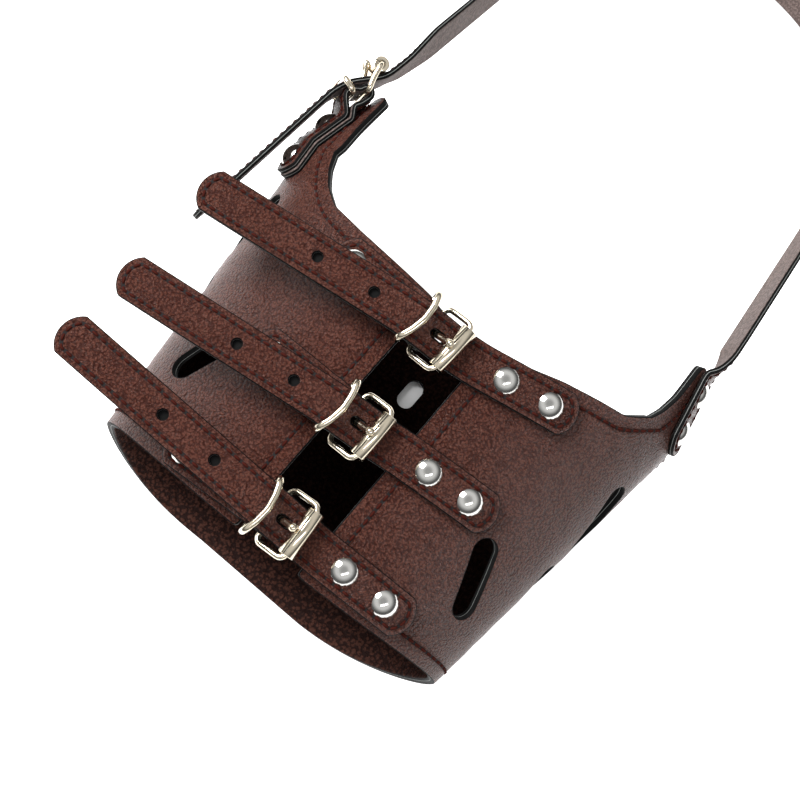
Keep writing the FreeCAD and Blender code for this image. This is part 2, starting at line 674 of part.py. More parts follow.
def neck_loop():
    """The band behind the head: two straight sides and a half circle, sloping to the table."""
    reach = LOOP_STRAIGHT + LOOP_HALF_WIDTH
    half = STRAP_PLY / 2

    def outline(offset):
        width = LOOP_HALF_WIDTH + offset
        hinge = NECK_HINGE_X + offset
        points = [Vector(hinge, 0, 0), Vector(width, LOOP_STRAIGHT, 0)]
        points += [Vector(0, LOOP_STRAIGHT + width, 0), Vector(-width, LOOP_STRAIGHT, 0), Vector(-hinge, 0, 0)]
        return points

    outer = outline(half)
    inner = outline(-half)
    edges = [Part.LineSegment(outer[0], outer[1]).toShape(), Part.Arc(*outer[1:4]).toShape()]
    edges.append(Part.LineSegment(outer[3], outer[4]).toShape())
    edges.append(Part.LineSegment(outer[4], inner[4]).toShape())
    edges.append(Part.LineSegment(inner[4], inner[3]).toShape())
    edges.append(Part.Arc(inner[3], inner[2], inner[1]).toShape())
    edges.append(Part.LineSegment(inner[1], inner[0]).toShape())
    edges.append(Part.LineSegment(inner[0], outer[0]).toShape())
    band = Part.Face(Part.Wire(edges)).extrude(Z_AXIS * STRAP_WIDTH)
    band.translate(Z_AXIS * -HALF_STRAP)
    slope = math.degrees(math.asin((TAB_Z - HALF_STRAP - LOOP_FLOOR) / reach))
    band.Placement = Placement(Vector(0, NECK_HINGE_Y, TAB_Z), Rotation(X_AXIS, -slope))
    length = 2 * REACH
    disc = cylinder(HALF_STRAP + LOOP_GAP, length, Vector(-REACH, NECK_HINGE_Y, TAB_Z), X_AXIS)
    return band.cut(disc)


def build():
    shanks = shank_cutters()
    single = layer(0.0, STRAP_PLY)
    double = layer(0.0, 2 * STRAP_PLY)
    parts = sleeve_plies()
    for name in CLOSURES:
        parts.update(closure_leather(name, single, double, shanks))
        parts.update(hardware(name, buckle_frame_of(name)))
    parts["strap_neck_riveted"] = neck_right_root(single, shanks)
    parts.update(neck_left_leather(double, shanks))
    parts.update(hardware("neck", neck_frame()))
    parts["neck_loop"] = neck_loop()
    for name, point, normal, thick in rivet_places():
        parts[name] = rivet(point, normal, thick)
    return parts


os.makedirs("parts", exist_ok=True)
for node, shape in build().items():
    solids = shape.Solids
    print(node, len(solids), round(shape.Volume, 1), shape.isValid())
    shape = solids[0] if len(solids) == 1 else shape
    shape.exportStep(f"parts/{node}.step")
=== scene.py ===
"""Looks of the leather sleeve muzzle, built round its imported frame.

Lengths are in millimetres until a mesh is made. -Y is towards the nose, +X is the side with the riveted
straps, and the origin is on the table under the belly.
"""

import json
import math
import bpy
import numpy as np
from mathutils import Matrix, Vector
from mathutils.geometry import delaunay_2d_cdt


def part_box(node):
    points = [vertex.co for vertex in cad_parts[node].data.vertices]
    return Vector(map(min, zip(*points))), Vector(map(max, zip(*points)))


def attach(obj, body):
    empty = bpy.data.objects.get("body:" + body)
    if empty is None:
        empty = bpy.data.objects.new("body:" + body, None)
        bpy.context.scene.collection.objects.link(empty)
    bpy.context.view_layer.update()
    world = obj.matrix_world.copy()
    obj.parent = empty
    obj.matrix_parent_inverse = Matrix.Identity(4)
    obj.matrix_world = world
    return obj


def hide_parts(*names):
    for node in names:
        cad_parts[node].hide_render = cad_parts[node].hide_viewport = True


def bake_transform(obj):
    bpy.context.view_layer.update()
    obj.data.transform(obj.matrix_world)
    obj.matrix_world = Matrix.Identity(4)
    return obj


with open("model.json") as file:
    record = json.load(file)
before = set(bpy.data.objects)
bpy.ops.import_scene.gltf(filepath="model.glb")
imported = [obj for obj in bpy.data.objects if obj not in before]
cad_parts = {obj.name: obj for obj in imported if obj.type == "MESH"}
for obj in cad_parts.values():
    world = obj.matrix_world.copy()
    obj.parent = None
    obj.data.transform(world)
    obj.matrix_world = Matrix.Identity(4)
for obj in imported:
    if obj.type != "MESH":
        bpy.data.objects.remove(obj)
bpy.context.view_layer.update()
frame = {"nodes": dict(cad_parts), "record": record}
joints = {joint["name"]: joint for joint in frame["record"]["behaviour"]["joints"]}
MM = 0.001
CLOSURES = ("rear", "middle", "front")

# ---- sleeve
FRONT_Y, KINK_Y, TAIL_Y = -68.0, 52.0, 95.0   # where the two rows below hold
HALF_WIDTHS = (71.8, 86.2, 78.0)
HALF_HEIGHTS = (39.0, 44.8, 44.8)
WIDER, HIGHER = 0.12, 0.0483   # growth of both per millimetre, used ahead of FRONT_Y
BELLY_FLAT = 24.0          # half-width of the flat on which the sleeve rests
ROUNDNESS = 2.2            # exponent of the section, 2.0 is an ellipse
WALL = 3.3
PLY_LINE = -1.9            # depth at which the two plies meet
GAP_HALF = 12.3
BELLY_REAR_Y = 45.0
TAB_Z = 58.0
TAB_TIP_Y, TAB_TIP_HALF, TAB_ROOT_HALF = 84.0, 6.4, 14.2
RIM_SKEW = 2.8             # the nose edge is this much further back on the right, and forward on the left
REAR_RIM = {               # (y, z) from the gap down to the ear tab, on each side
    1: (
        (28.3, 95.0), (28.5, 87.3), (31.0, 86.6), (34.0, 85.8), (37.2, 84.6),
        (42.0, 80.8), (45.0, 77.0), (51.0, 74.0), (58.0, 71.0), (66.0, 68.4),
    ),
    -1: (
        (28.3, 95.0), (29.4, 87.1), (31.4, 84.5), (32.6, 82.0), (35.0, 77.3),
        (40.0, 74.2), (46.0, 72.0), (56.0, 70.8), (66.0, 68.4),
    ),
}
RIM_SEAM = 5.5             # stitch line inside the sleeve's outline
# distance round the wall from the top, y, and turn in degrees
SIDE_SLOTS = ((60.0, -29.5, 25.0), (91.0, 17.0, 20.0), (95.0, -18.0, 20.0))
SLOT_LENGTH, SLOT_WIDTH = 28.0, 9.2
VENT_Y, VENT_LENGTH, VENT_WIDTH = 21.0, 13.0, 7.0

# ---- straps
STRAP_WIDTH, STRAP_PLY = 15.0, 2.2
HALF_STRAP = STRAP_WIDTH / 2
END_RADIUS = 9.0
ROOT_START, ROOT_END, TAB_END = 13.0, 50.0, 47.5
HEEL_U, HEEL_W = -9.0, 0.6
FLEX_U, FLEX_W = -19.0, 7.9
BEND_FROM_U, BEND_TO_U = -15.0, -30.0   # places on the free end; points at them are worked out but not used
PRONG_HOLE_U, PRONG_HOLE_LENGTH, PRONG_HOLE_WIDTH = -5.6, 5.4, 3.0
HEEL_SLOT_LENGTH, HEEL_SLOT_WIDTH = 9.0, 3.2
TIP_X = -94.5
TIP_SLOPE = {"rear": -5.5, "middle": -5.5, "front": -1.5, "neck": -7.5}
FIRST_HOLE_X = {"rear": -27.6, "middle": -28.2, "front": -30.1, "neck": -28.6}
HOLE_PITCH, HOLE_RADIUS = 21.6, 1.7
STITCH_INSET = 2.4
STITCH_PITCH = 3.3
STITCH_FLATNESS = 0.8
NECK_END_Y = 52.0
NECK_TIP_LENGTH = 65.5
NECK_JOIN_U, NECK_TIP_START_U = -15.6, -14.6   # the strap's two meshes meet inside the keeper
NECK_HINGE_X = 79.0
LOOP_STRAIGHT, LOOP_HALF_WIDTH = 104.0, 76.0
LOOP_LEAN = 6.0

# ---- leather edges and seams
EDGE_REACH, EDGE_DROP = 0.85, 0.28   # the rounding of an edge
EDGE_RINGS = (0.32, EDGE_REACH)      # rows of points inside it
PAINTED = 0.34                       # width of its painted border
HAIRLINE_HALF = 0.09
GROOVE_DEPTH, GROOVE_HALF = 0.38, 0.7
GROOVE_ROWS = (-1.1, -0.58, 0.0, 0.58, 1.1)
GROOVE_REACH = 1.1
FRONT_SLOT, BACK_SLOT, EDGE_AND_HOLE_SHADE_SLOT, LINE_SLOT, GROOVE_SHADE_SLOT = range(5)

# ---- buckles
FRAME_TILT = 26.0
FRAME_LENGTH, FRAME_HALF, WIRE_RADIUS = 11.8, 10.0, 1.0
ROLLER_RADIUS, ROLLER_HALF = 2.8, 8.3
PRONG_LENGTH, PRONG_RADIUS = 14.2, 1.2
PRONG_LIFT = {"rear": 0.0, "middle": 0.0, "front": 9.0, "neck": 0.0}
KEEPER_BOW = 2.6


# ---------------------------------------------------------------- materials
def material(name, colour, roughness, metallic=0.0, specular=0.5):
    made = bpy.data.materials.new(name)
    made.use_nodes = True
    shader = made.node_tree.nodes["Principled BSDF"]
    shader.inputs["Base Color"].default_value = (*colour, 1)
    shader.inputs["Roughness"].default_value = roughness
    shader.inputs["Metallic"].default_value = metallic
    shader.inputs["Specular IOR Level"].default_value = specular
    return made


def node(tree, kind, **inputs):
    made = tree.nodes.new(kind)
    for name, value in inputs.items():
        made.inputs[name.replace("_", " ")].default_value = value
    return made


def ramp(tree, source, stops):
    made = tree.nodes.new("ShaderNodeValToRGB")
    while len(made.color_ramp.elements) < len(stops):
        made.color_ramp.elements.new(0.5)
    for element, (place, colour) in zip(made.color_ramp.elements, stops):
        element.position = place
        element.color = (*colour, 1)
    tree.links.new(source, made.inputs[0])
    return made


def maths(tree, operation, first, second, third=None):
    made = tree.nodes.new("ShaderNodeMath")
    made.operation = operation
    for place, value in enumerate((first, second, third)):
        if value is None:
            continue
        if isinstance(value, (int, float)):
            made.inputs[place].default_value = value
        else:
            tree.links.new(value, made.inputs[place])
    return made.outputs[0]


def grained_leather(name, tones, cell, depth, roughness, speck_highlight, specular=0.5):
    """Pebbled leather: rounded grains of two sizes, mottled over a few centimetres, with painted shade in
    their valleys and painted highlights on their crests and in fine specks.

    The tones are those of valley (painted shade), body and crest (painted highlight). A cell is a grain's
    size and depth its height, in metres.
    """
    valley, body, crest = tones
    made = material(name, body, roughness[0], specular=specular)
    tree = made.node_tree
    link = tree.links.new
    shader = tree.nodes["Principled BSDF"]
    place = tree.nodes.new("ShaderNodeTexCoord").outputs["Object"]
    warp = node(tree, "ShaderNodeTexNoise", Scale=0.6 / cell, Detail=2.0)
    link(place, warp.inputs["Vector"])
    bend = tree.nodes.new("ShaderNodeVectorMath")
    bend.operation = "MULTIPLY_ADD"
    link(warp.outputs["Color"], bend.inputs[0])
    bend.inputs[1].default_value = (0.6 * cell,) * 3
    link(place, bend.inputs[2])
    domes = []
    for size in (1.0, 1.9):
        cells = node(tree, "ShaderNodeTexVoronoi", Scale=size / cell)
        link(bend.outputs[0], cells.inputs["Vector"])
        domes.append(maths(tree, "MULTIPLY", cells.outputs["Distance"], cells.outputs["Distance"]))
    fine = node(tree, "ShaderNodeTexNoise", Scale=2.4 / cell, Detail=3.0, Roughness=0.6)
    link(place, fine.inputs["Vector"])
    low = maths(tree, "MULTIPLY_ADD", domes[0], -1.5, fine.outputs["Fac"])
    height = maths(tree, "MULTIPLY_ADD", domes[1], -0.7, low)
    bump = node(tree, "ShaderNodeBump", Strength=1.0, Distance=depth)
    link(height, bump.inputs["Height"])
    link(bump.outputs["Normal"], shader.inputs["Normal"])
    mottle = node(tree, "ShaderNodeTexNoise", Scale=55.0, Detail=4.0, Roughness=0.6)
    link(place, mottle.inputs["Vector"])
    # Painted shade and light: the colour follows the grain's height, darker in its valleys and paler on its
    # crests, with a random mottle added.
    tone = maths(tree, "MULTIPLY_ADD", mottle.outputs["Fac"], 0.35, height)
    colours = ramp(tree, tone, ((-0.15, valley), (0.2, body), (0.62, crest)))
    # Painted highlight: fine specks mixed towards a pale colour, as light glinting on the grain.
    speck = node(tree, "ShaderNodeTexNoise", Scale=1.7 / cell, Detail=2.0, Roughness=0.7)
    link(place, speck.inputs["Vector"])
    painted_highlight_specks = ramp(tree, speck.outputs["Fac"], ((0.60, (0, 0, 0)), (0.70, (1, 1, 1))))
    mix = tree.nodes.new("ShaderNodeMix")
    mix.data_type = "RGBA"
    link(maths(tree, "MULTIPLY", painted_highlight_specks.outputs["Color"], 0.22), mix.inputs["Factor"])
    link(colours.outputs["Color"], mix.inputs["A"])
    mix.inputs["B"].default_value = (*speck_highlight, 1)
    link(mix.outputs["Result"], shader.inputs["Base Color"])
    gloss = ramp(tree, mottle.outputs["Fac"], ((0.3, (roughness[0],) * 3), (0.7, (roughness[1],) * 3)))
    link(gloss.outputs["Color"], shader.inputs["Roughness"])
    return made


LEATHER = grained_leather(
    "leather_grain",
    ((0.052, 0.014, 0.009), (0.104, 0.033, 0.021), (0.132, 0.046, 0.031)),
    cell=0.0009, depth=0.0007, roughness=(0.26, 0.36), speck_highlight=(0.34, 0.26, 0.23), specular=0.30,
)
LINING = grained_leather(
    "leather_lining",
    ((0.024, 0.008, 0.006), (0.074, 0.026, 0.017), (0.108, 0.042, 0.029)),
    cell=0.0014, depth=0.0003, roughness=(0.5, 0.6), speck_highlight=(0.10, 0.06, 0.05),
)


def darken_inside(made, bright_y, dark_y):
    """Deep inside, where hardly any light comes, the lining is almost black."""
    tree = made.node_tree
    shader = tree.nodes["Principled BSDF"]
    split = tree.nodes.new("ShaderNodeSeparateXYZ")
    tree.links.new(tree.nodes.new("ShaderNodeTexCoord").outputs["Object"], split.inputs[0])
    limits = {"From_Min": bright_y * MM, "From_Max": dark_y * MM}
    reach = node(tree, "ShaderNodeMapRange", **limits, To_Min=1.0, To_Max=0.07)
    tree.links.new(split.outputs["Y"], reach.inputs["Value"])
    source = shader.inputs["Base Color"].links[0].from_socket
    dim = tree.nodes.new("ShaderNodeVectorMath")
    dim.operation = "SCALE"
    tree.links.new(source, dim.inputs[0])
    tree.links.new(reach.outputs["Result"], dim.inputs["Scale"])
    tree.links.new(dim.outputs[0], shader.inputs["Base Color"])
    shine = maths(tree, "MULTIPLY", reach.outputs["Result"], 0.15)
    tree.links.new(shine, shader.inputs["Specular IOR Level"])


darken_inside(LINING, -72.0, -52.0)
BACK = grained_leather(
    "leather_back",
    ((0.070, 0.046, 0.040), (0.110, 0.076, 0.067), (0.150, 0.108, 0.096)),
    cell=0.0012, depth=0.0002, roughness=(0.7, 0.8), speck_highlight=(0.19, 0.14, 0.13),
)
# Black edge paint; the same colour also fills the bottom of the first strap holes as painted shade.
EDGE_PAINT_AND_HOLE_SHADE = material("edge_paint_and_hole_shade", (0.004, 0.004, 0.004), 0.6, specular=0.08)
HAIRLINE = material("ply_line", (0.20, 0.21, 0.20), 0.6)
THREAD = material("thread", (0.046, 0.009, 0.006), 0.8, specular=0.05)
# Painted shade: near-black colour for the faces in the stitch grooves.
GROOVE_SHADE = material("stitch_groove_shade", (0.012, 0.004, 0.003), 0.6)
# Painted shade for the needle holes at the stitch ends.
NEEDLE_HOLE_SHADE = material("needle_hole_shade", (0.003, 0.001, 0.001), 0.9)
NICKEL = material("nickel_cap", (0.72, 0.71, 0.68), 0.12, 1.0)
PLATE = material("nickel_plate", (0.72, 0.64, 0.50), 0.17, 1.0)
SHADE = material("seam_shadow", (0.03, 0.028, 0.025), 0.5, 1.0)


# ---------------------------------------------------------------- sleeve surface
RUN, ACROSS, UP, TURN = range(4)   # columns of a section table: length so far, x, z, angle from the top
UPPER = 121                # its points from the widest place to the top


def half_width(y):
    return np.interp(y, (FRONT_Y, KINK_Y, TAIL_Y), HALF_WIDTHS)


def half_height(y):
    return np.interp(y, (FRONT_Y, KINK_Y, TAIL_Y), HALF_HEIGHTS)


def section_table(y):
    """Half a section of the skin, from the middle of the belly up to the top."""
    wide = half_width(y) if y > FRONT_Y else HALF_WIDTHS[0] + (y - FRONT_Y) * WIDER
    high = half_height(y) if y > FRONT_Y else HALF_HEIGHTS[0] + (y - FRONT_Y) * HIGHER
    power = 2 / ROUNDNESS
    low = np.radians(np.linspace(90.0, 0.0, 91))
    up = np.radians(np.linspace(0.0, 90.0, UPPER))[1:]
    low_x = BELLY_FLAT + np.cos(low).clip(0) ** power * (wide - BELLY_FLAT)
    low_z = high - np.sin(low) ** power * high
    up_x = np.cos(up).clip(0) ** power * wide
    up_z = high + np.sin(up) ** power * high
    x = np.concatenate([[0.0], low_x, up_x])
    z = np.concatenate([[0.0], low_z, up_z])
    turn = np.concatenate([[180.0], 90 + np.degrees(low), 90 - np.degrees(up)])
    run = np.concatenate([[0.0], np.cumsum(np.hypot(np.diff(x), np.diff(z)))])
    return run, x, z, turn


ROWS = np.linspace(-82.0, 98.0, 91)
TABLES = [section_table(y) for y in ROWS]


def skin(flat):
    """Skin point for a place on the flat panel: signed length round from the belly's middle, and y."""
    away, y = np.abs(flat[:, 0]), flat[:, 1]
    row = np.clip(((y - ROWS[0]) / (ROWS[1] - ROWS[0])).astype(int), 0, len(ROWS) - 2)
    share = (y - ROWS[row]) / (ROWS[1] - ROWS[0])
    out = np.zeros((len(flat), 3))
    for index in np.unique(row):
        chosen = row == index
        part = share[chosen]
        for column, axis in ((ACROSS, 0), (UP, 2)):
            near = np.interp(away[chosen], TABLES[index][RUN], TABLES[index][column])
            far = np.interp(away[chosen], TABLES[index + 1][RUN], TABLES[index + 1][column])
            out[chosen, axis] = near + part * (far - near)
    out[:, 0] *= np.sign(flat[:, 0])
    out[:, 1] = y
    return out


def run_where(y, column, value):
    """Length round the section at y where a table column reaches a value."""
    table = section_table(y)
    keys, run = table[column], table[RUN]
    if column == ACROSS:
        return float(np.interp(-value, -keys[-UPPER:], run[-UPPER:]))
    if column == TURN:
        return float(np.interp(-value, -keys[1:], run[1:]))
    return float(np.interp(value, keys[1:], run[1:]))


def level(points):
    """1 on the skin and more outside it, roughly in shares of the half-width."""
    y = points[:, 1]
    wide, high = half_width(y), half_height(y)
    total = np.abs(points[:, 0] / wide) ** ROUNDNESS + np.abs((points[:, 2] - high) / high) ** ROUNDNESS
    return total ** (1 / ROUNDNESS)


# ---------------------------------------------------------------- frames of the closures
def joint_place(name):
    return np.array(joints[name]["pos_m"]) / MM


def joint_axis(name):
    axis = np.array(joints[name]["axis"])
    return axis / np.linalg.norm(axis)


class Axes:
    """Local frame: u along a strap, v across it, w off the leather."""

    def __init__(self, origin, u, v):
        self.u, self.v = u, v
        self.w = np.cross(u, v)
        self.origin = origin

    def at(self, u, v, w):
        return self.origin + np.outer(u, self.u) + np.outer(v, self.v) + np.outer(w, self.w)

    def skin_height(self, u, v):
        """w of the sleeve's skin under each (u, v)."""
        w = np.zeros(len(u))
        for _ in range(9):
            here = level(self.at(u, v, w))
            ahead = level(self.at(u, v, w + 0.05))
            slope = np.maximum((ahead - here) / 0.05, 0.002)
            w = w - np.clip((here - 1) / slope, -25, 25)
        return w


def strap_axes(name):
    v = joint_axis("strap_tip_flex_" + name)
    u = np.cross(v, (0, 0, 1))
    u /= np.linalg.norm(u)
    w = np.cross(u, v)
    return Axes(joint_place("strap_tip_flex_" + name) - u * FLEX_U - w * FLEX_W, u, v)


def root_bend(axes, name):
    """Sideways bend from a strap's free part to its riveted root, from the two rivets."""
    near, far = (np.mean(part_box(f"rivet_{name}_strap_{i}"), axis=0) / MM for i in (1, 2))
    run = far - near
    return math.atan2(float(run @ axes.v), float(run @ axes.u))


def buckle_axes(name):
    u = joint_axis("keeper_slide_" + name)
    v = -joint_axis("buckle_tilt_" + name)
    w = np.cross(u, v)
    return Axes(joint_place("buckle_tilt_" + name) - u * HEEL_U - w * HEEL_W, u, v)


# ---------------------------------------------------------------- flat outlines
def blend_share(value, low, high):
    share = np.clip((value - low) / (high - low), 0, 1)
    return share * share * (3 - 2 * share)


def dense(points, step, closed=True):
    """The same line with a point about every step."""
    points = np.asarray(points, float)
    if closed:
        points = np.vstack([points, points[:1]])
    gaps = np.linalg.norm(np.diff(points, axis=0), axis=1)
    run = np.concatenate([[0], np.cumsum(gaps)])
    count = max(int(round(run[-1] / step)), 6)
    at = np.linspace(0, run[-1], count + 1)
    made = np.stack([np.interp(at, run, points[:, k]) for k in range(points.shape[1])], axis=1)
    return made[:-1] if closed else made


def softened(points, rounds):
    """A closed line with its corners eased."""
    for _ in range(rounds):
        points = (np.roll(points, 1, axis=0) + 2 * points + np.roll(points, -1, axis=0)) / 4
    return points


def smoothed(path, reach):
    """An open line of close points, averaged over its neighbours, with its ends kept."""
    padded = np.vstack([2 * path[0] - path[reach:0:-1], path, 2 * path[-1] - path[-2 : -reach - 2 : -1]])
    kernel = np.hanning(2 * reach + 3)[1:-1]
    kernel /= kernel.sum()
    return np.stack([np.convolve(padded[:, k], kernel, mode="valid") for k in range(path.shape[1])], axis=1)


def bent_run(join, bend, low, high):
    """Middle line in (u, v) of a strap that bends sideways near u = join, and its heading."""
    run = np.arange(low, high, 0.25)
    heading = bend * blend_share(run, join - 4.0, join + 4.0)
    u = low + np.concatenate([[0.0], np.cumsum(np.cos(heading[:-1]) * 0.25)])
    v = np.concatenate([[0.0], np.cumsum(np.sin(heading[:-1]) * 0.25)])
    return run, u, v, heading


def stadium(centre, length, width, turn, step=0.8):
    """A slot with round ends, as a closed line."""
    straight = length / 2 - width / 2
    ends = []
    for side, start in ((1, -90), (-1, 90)):
        for angle in np.radians(np.linspace(start, start + 180, 17)):
            ends.append((side * straight + math.cos(angle) * width / 2, math.sin(angle) * width / 2))
    cosine, sine = math.cos(math.radians(turn)), math.sin(math.radians(turn))
    turned = [(x * cosine - y * sine, x * sine + y * cosine) for x, y in ends]
    return dense(np.array(turned) + centre, step)


def round_end(end, side, radius=END_RADIUS, half=HALF_STRAP):
    """The arc that ends a strap, from one edge to the other; side is the way that the strap ends."""
    reach = math.asin(half / radius)
    angles = np.linspace(-reach, reach, 13)
    return [(end - side * radius * (1 - math.cos(a)), side * radius * math.sin(a)) for a in angles]


def strap_cut(low, high, high_round=True):
    """A strap's outline, and its stitch line: closed, or open where the strap isn't rounded."""
    half, radius = HALF_STRAP - STITCH_INSET, END_RADIUS - STITCH_INSET
    start, seam = round_end(low, -1), round_end(low + STITCH_INSET, -1, radius, half)
    if high_round:
        finish = round_end(high, 1)
        seam = seam + round_end(high - STITCH_INSET, 1, radius, half) + seam[:1]
    else:
        finish = [(high, -HALF_STRAP), (high, HALF_STRAP)]
        seam = [(high, half)] + seam + [(high, -half)]
    return dense(start + finish, 0.8), [np.array(seam)]


def strap_holes(first):
    """The two round holes in a strap's free end."""
    places = (first, first - HOLE_PITCH)
    return [stadium((u, 0), 2 * HOLE_RADIUS + 0.01, 2 * HOLE_RADIUS, 0, 0.5) for u in places]


def prong_hole(u):
    return stadium((u, 0), PRONG_HOLE_LENGTH, PRONG_HOLE_WIDTH, 0, 0.5)


def distance_to(points, lines):
    """Shortest distance from each point to any of the lines."""
    best = np.full(len(points), 1e9)
    for line in lines:
        for a, b in zip(line[:-1], line[1:]):
            along = b - a
            square = max(along @ along, 1e-12)
            share = np.clip(((points - a) @ along) / square, 0, 1)
            gap = np.linalg.norm(points - a - share[:, None] * along, axis=1)
            best = np.minimum(best, gap)
    return best


def inside(points, loop):
    """Which points lie within a closed line."""
    hit = np.zeros(len(points), bool)
    x, y = points[:, 0], points[:, 1]
    for (ax, ay), (bx, by) in zip(loop, np.roll(loop, -1, axis=0)):
        if ay == by:
            continue
        crosses = (ay > y) != (by > y)
        hit ^= crosses & (x < (bx - ax) * (y - ay) / (by - ay) + ax)
    return hit


def between(points, loops):
    """Which points lie within the first loop and outside the others."""
    keep = inside(points, loops[0])
    for hole in loops[1:]:
        keep &= ~inside(points, hole)
    return keep


def inset(loop, distance):
    """The loop moved towards the side that is on its left."""
    along = np.roll(loop, -1, axis=0) - np.roll(loop, 1, axis=0)
    along /= np.linalg.norm(along, axis=1)[:, None]
    return loop + np.stack([-along[:, 1], along[:, 0]], axis=1) * distance


def counter_clockwise(loop):
    x, y = loop[:, 0], loop[:, 1]
    area = np.sum(x * np.roll(y, -1) - y * np.roll(x, -1))
    return loop if area > 0 else loop[::-1]


# ---------------------------------------------------------------- meshes
def finish_mesh(name, verts, faces, materials, indices, body=None):
    """Makes the object in metres. No part of it goes under the table."""
    verts = np.array(verts)
    verts[:, 2] = np.maximum(verts[:, 2], 0.0)
    mesh = bpy.data.meshes.new(name)
    mesh.from_pydata([tuple(v) for v in verts * MM], [], faces)
    for made in materials:
        mesh.materials.append(made)
    mesh.polygons.foreach_set("material_index", indices)
    mesh.polygons.foreach_set("use_smooth", [True] * len(mesh.polygons))
    mesh.update()
    made = bpy.data.objects.new(name, mesh)
    bpy.context.scene.collection.objects.link(made)
    if body:
        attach(made, body)
    return made


def normals_of(place, flat, sign):
    """Unit normals of a laid sheet at flat places, from its slopes."""
    step = 0.2
    along = place(flat + (step, 0)) - place(flat - (step, 0))
    across = place(flat + (0, step)) - place(flat - (0, step))
    normal = np.cross(along, across) * sign
    return normal / np.maximum(np.linalg.norm(normal, axis=1), 1e-9)[:, None]


def cut_flat(loops, rims, seams, grid):
    """Flat triangles between the loops, with rows of points along their edges and along the seams."""
    flat = [p for loop in loops for p in loop]
    edges = []
    for loop in loops:
        base = len(edges)
        edges += [(base + i, base + (i + 1) % len(loop)) for i in range(len(loop))]
    for ring in EDGE_RINGS:
        for loop in loops:
            moved = inset(loop, ring)
            flat += list(moved[distance_to(moved, rims) > ring * 0.93])
    for seam in seams:
        fine = dense(seam, 1.0, closed=False)
        along = np.gradient(fine, axis=0)
        along /= np.linalg.norm(along, axis=1)[:, None]
        normal = np.stack([-along[:, 1], along[:, 0]], axis=1)
        for away in GROOVE_ROWS:
            moved = fine + normal * away
            flat += list(moved[distance_to(moved, rims) > GROOVE_REACH])
    low_corner, high_corner = loops[0].min(axis=0), loops[0].max(axis=0)
    xs = np.arange(low_corner[0], high_corner[0], grid)
    ys = np.arange(low_corner[1], high_corner[1], grid * 0.87)
    mesh_x, mesh_y = np.meshgrid(xs, ys)
    mesh_x = mesh_x + (np.arange(len(ys)) % 2)[:, None] * grid / 2
    spread = np.stack([mesh_x.ravel(), mesh_y.ravel()], axis=1)
    spread = spread[distance_to(spread, rims) > EDGE_REACH + grid * 0.45]
    spread = spread[distance_to(spread, seams) > GROOVE_REACH + grid * 0.4]
    flat = np.array(flat + list(spread[between(spread, loops)]))
    result = delaunay_2d_cdt([Vector(p) for p in flat], edges, [], 0, 1e-5)
    points = np.array([tuple(p) for p in result[0]])
    faces = [tuple(face) for face in result[2]]
    middles = np.array([points[list(face)].mean(axis=0) for face in faces])
    return points, [face for face, stay in zip(faces, between(middles, loops)) if stay]


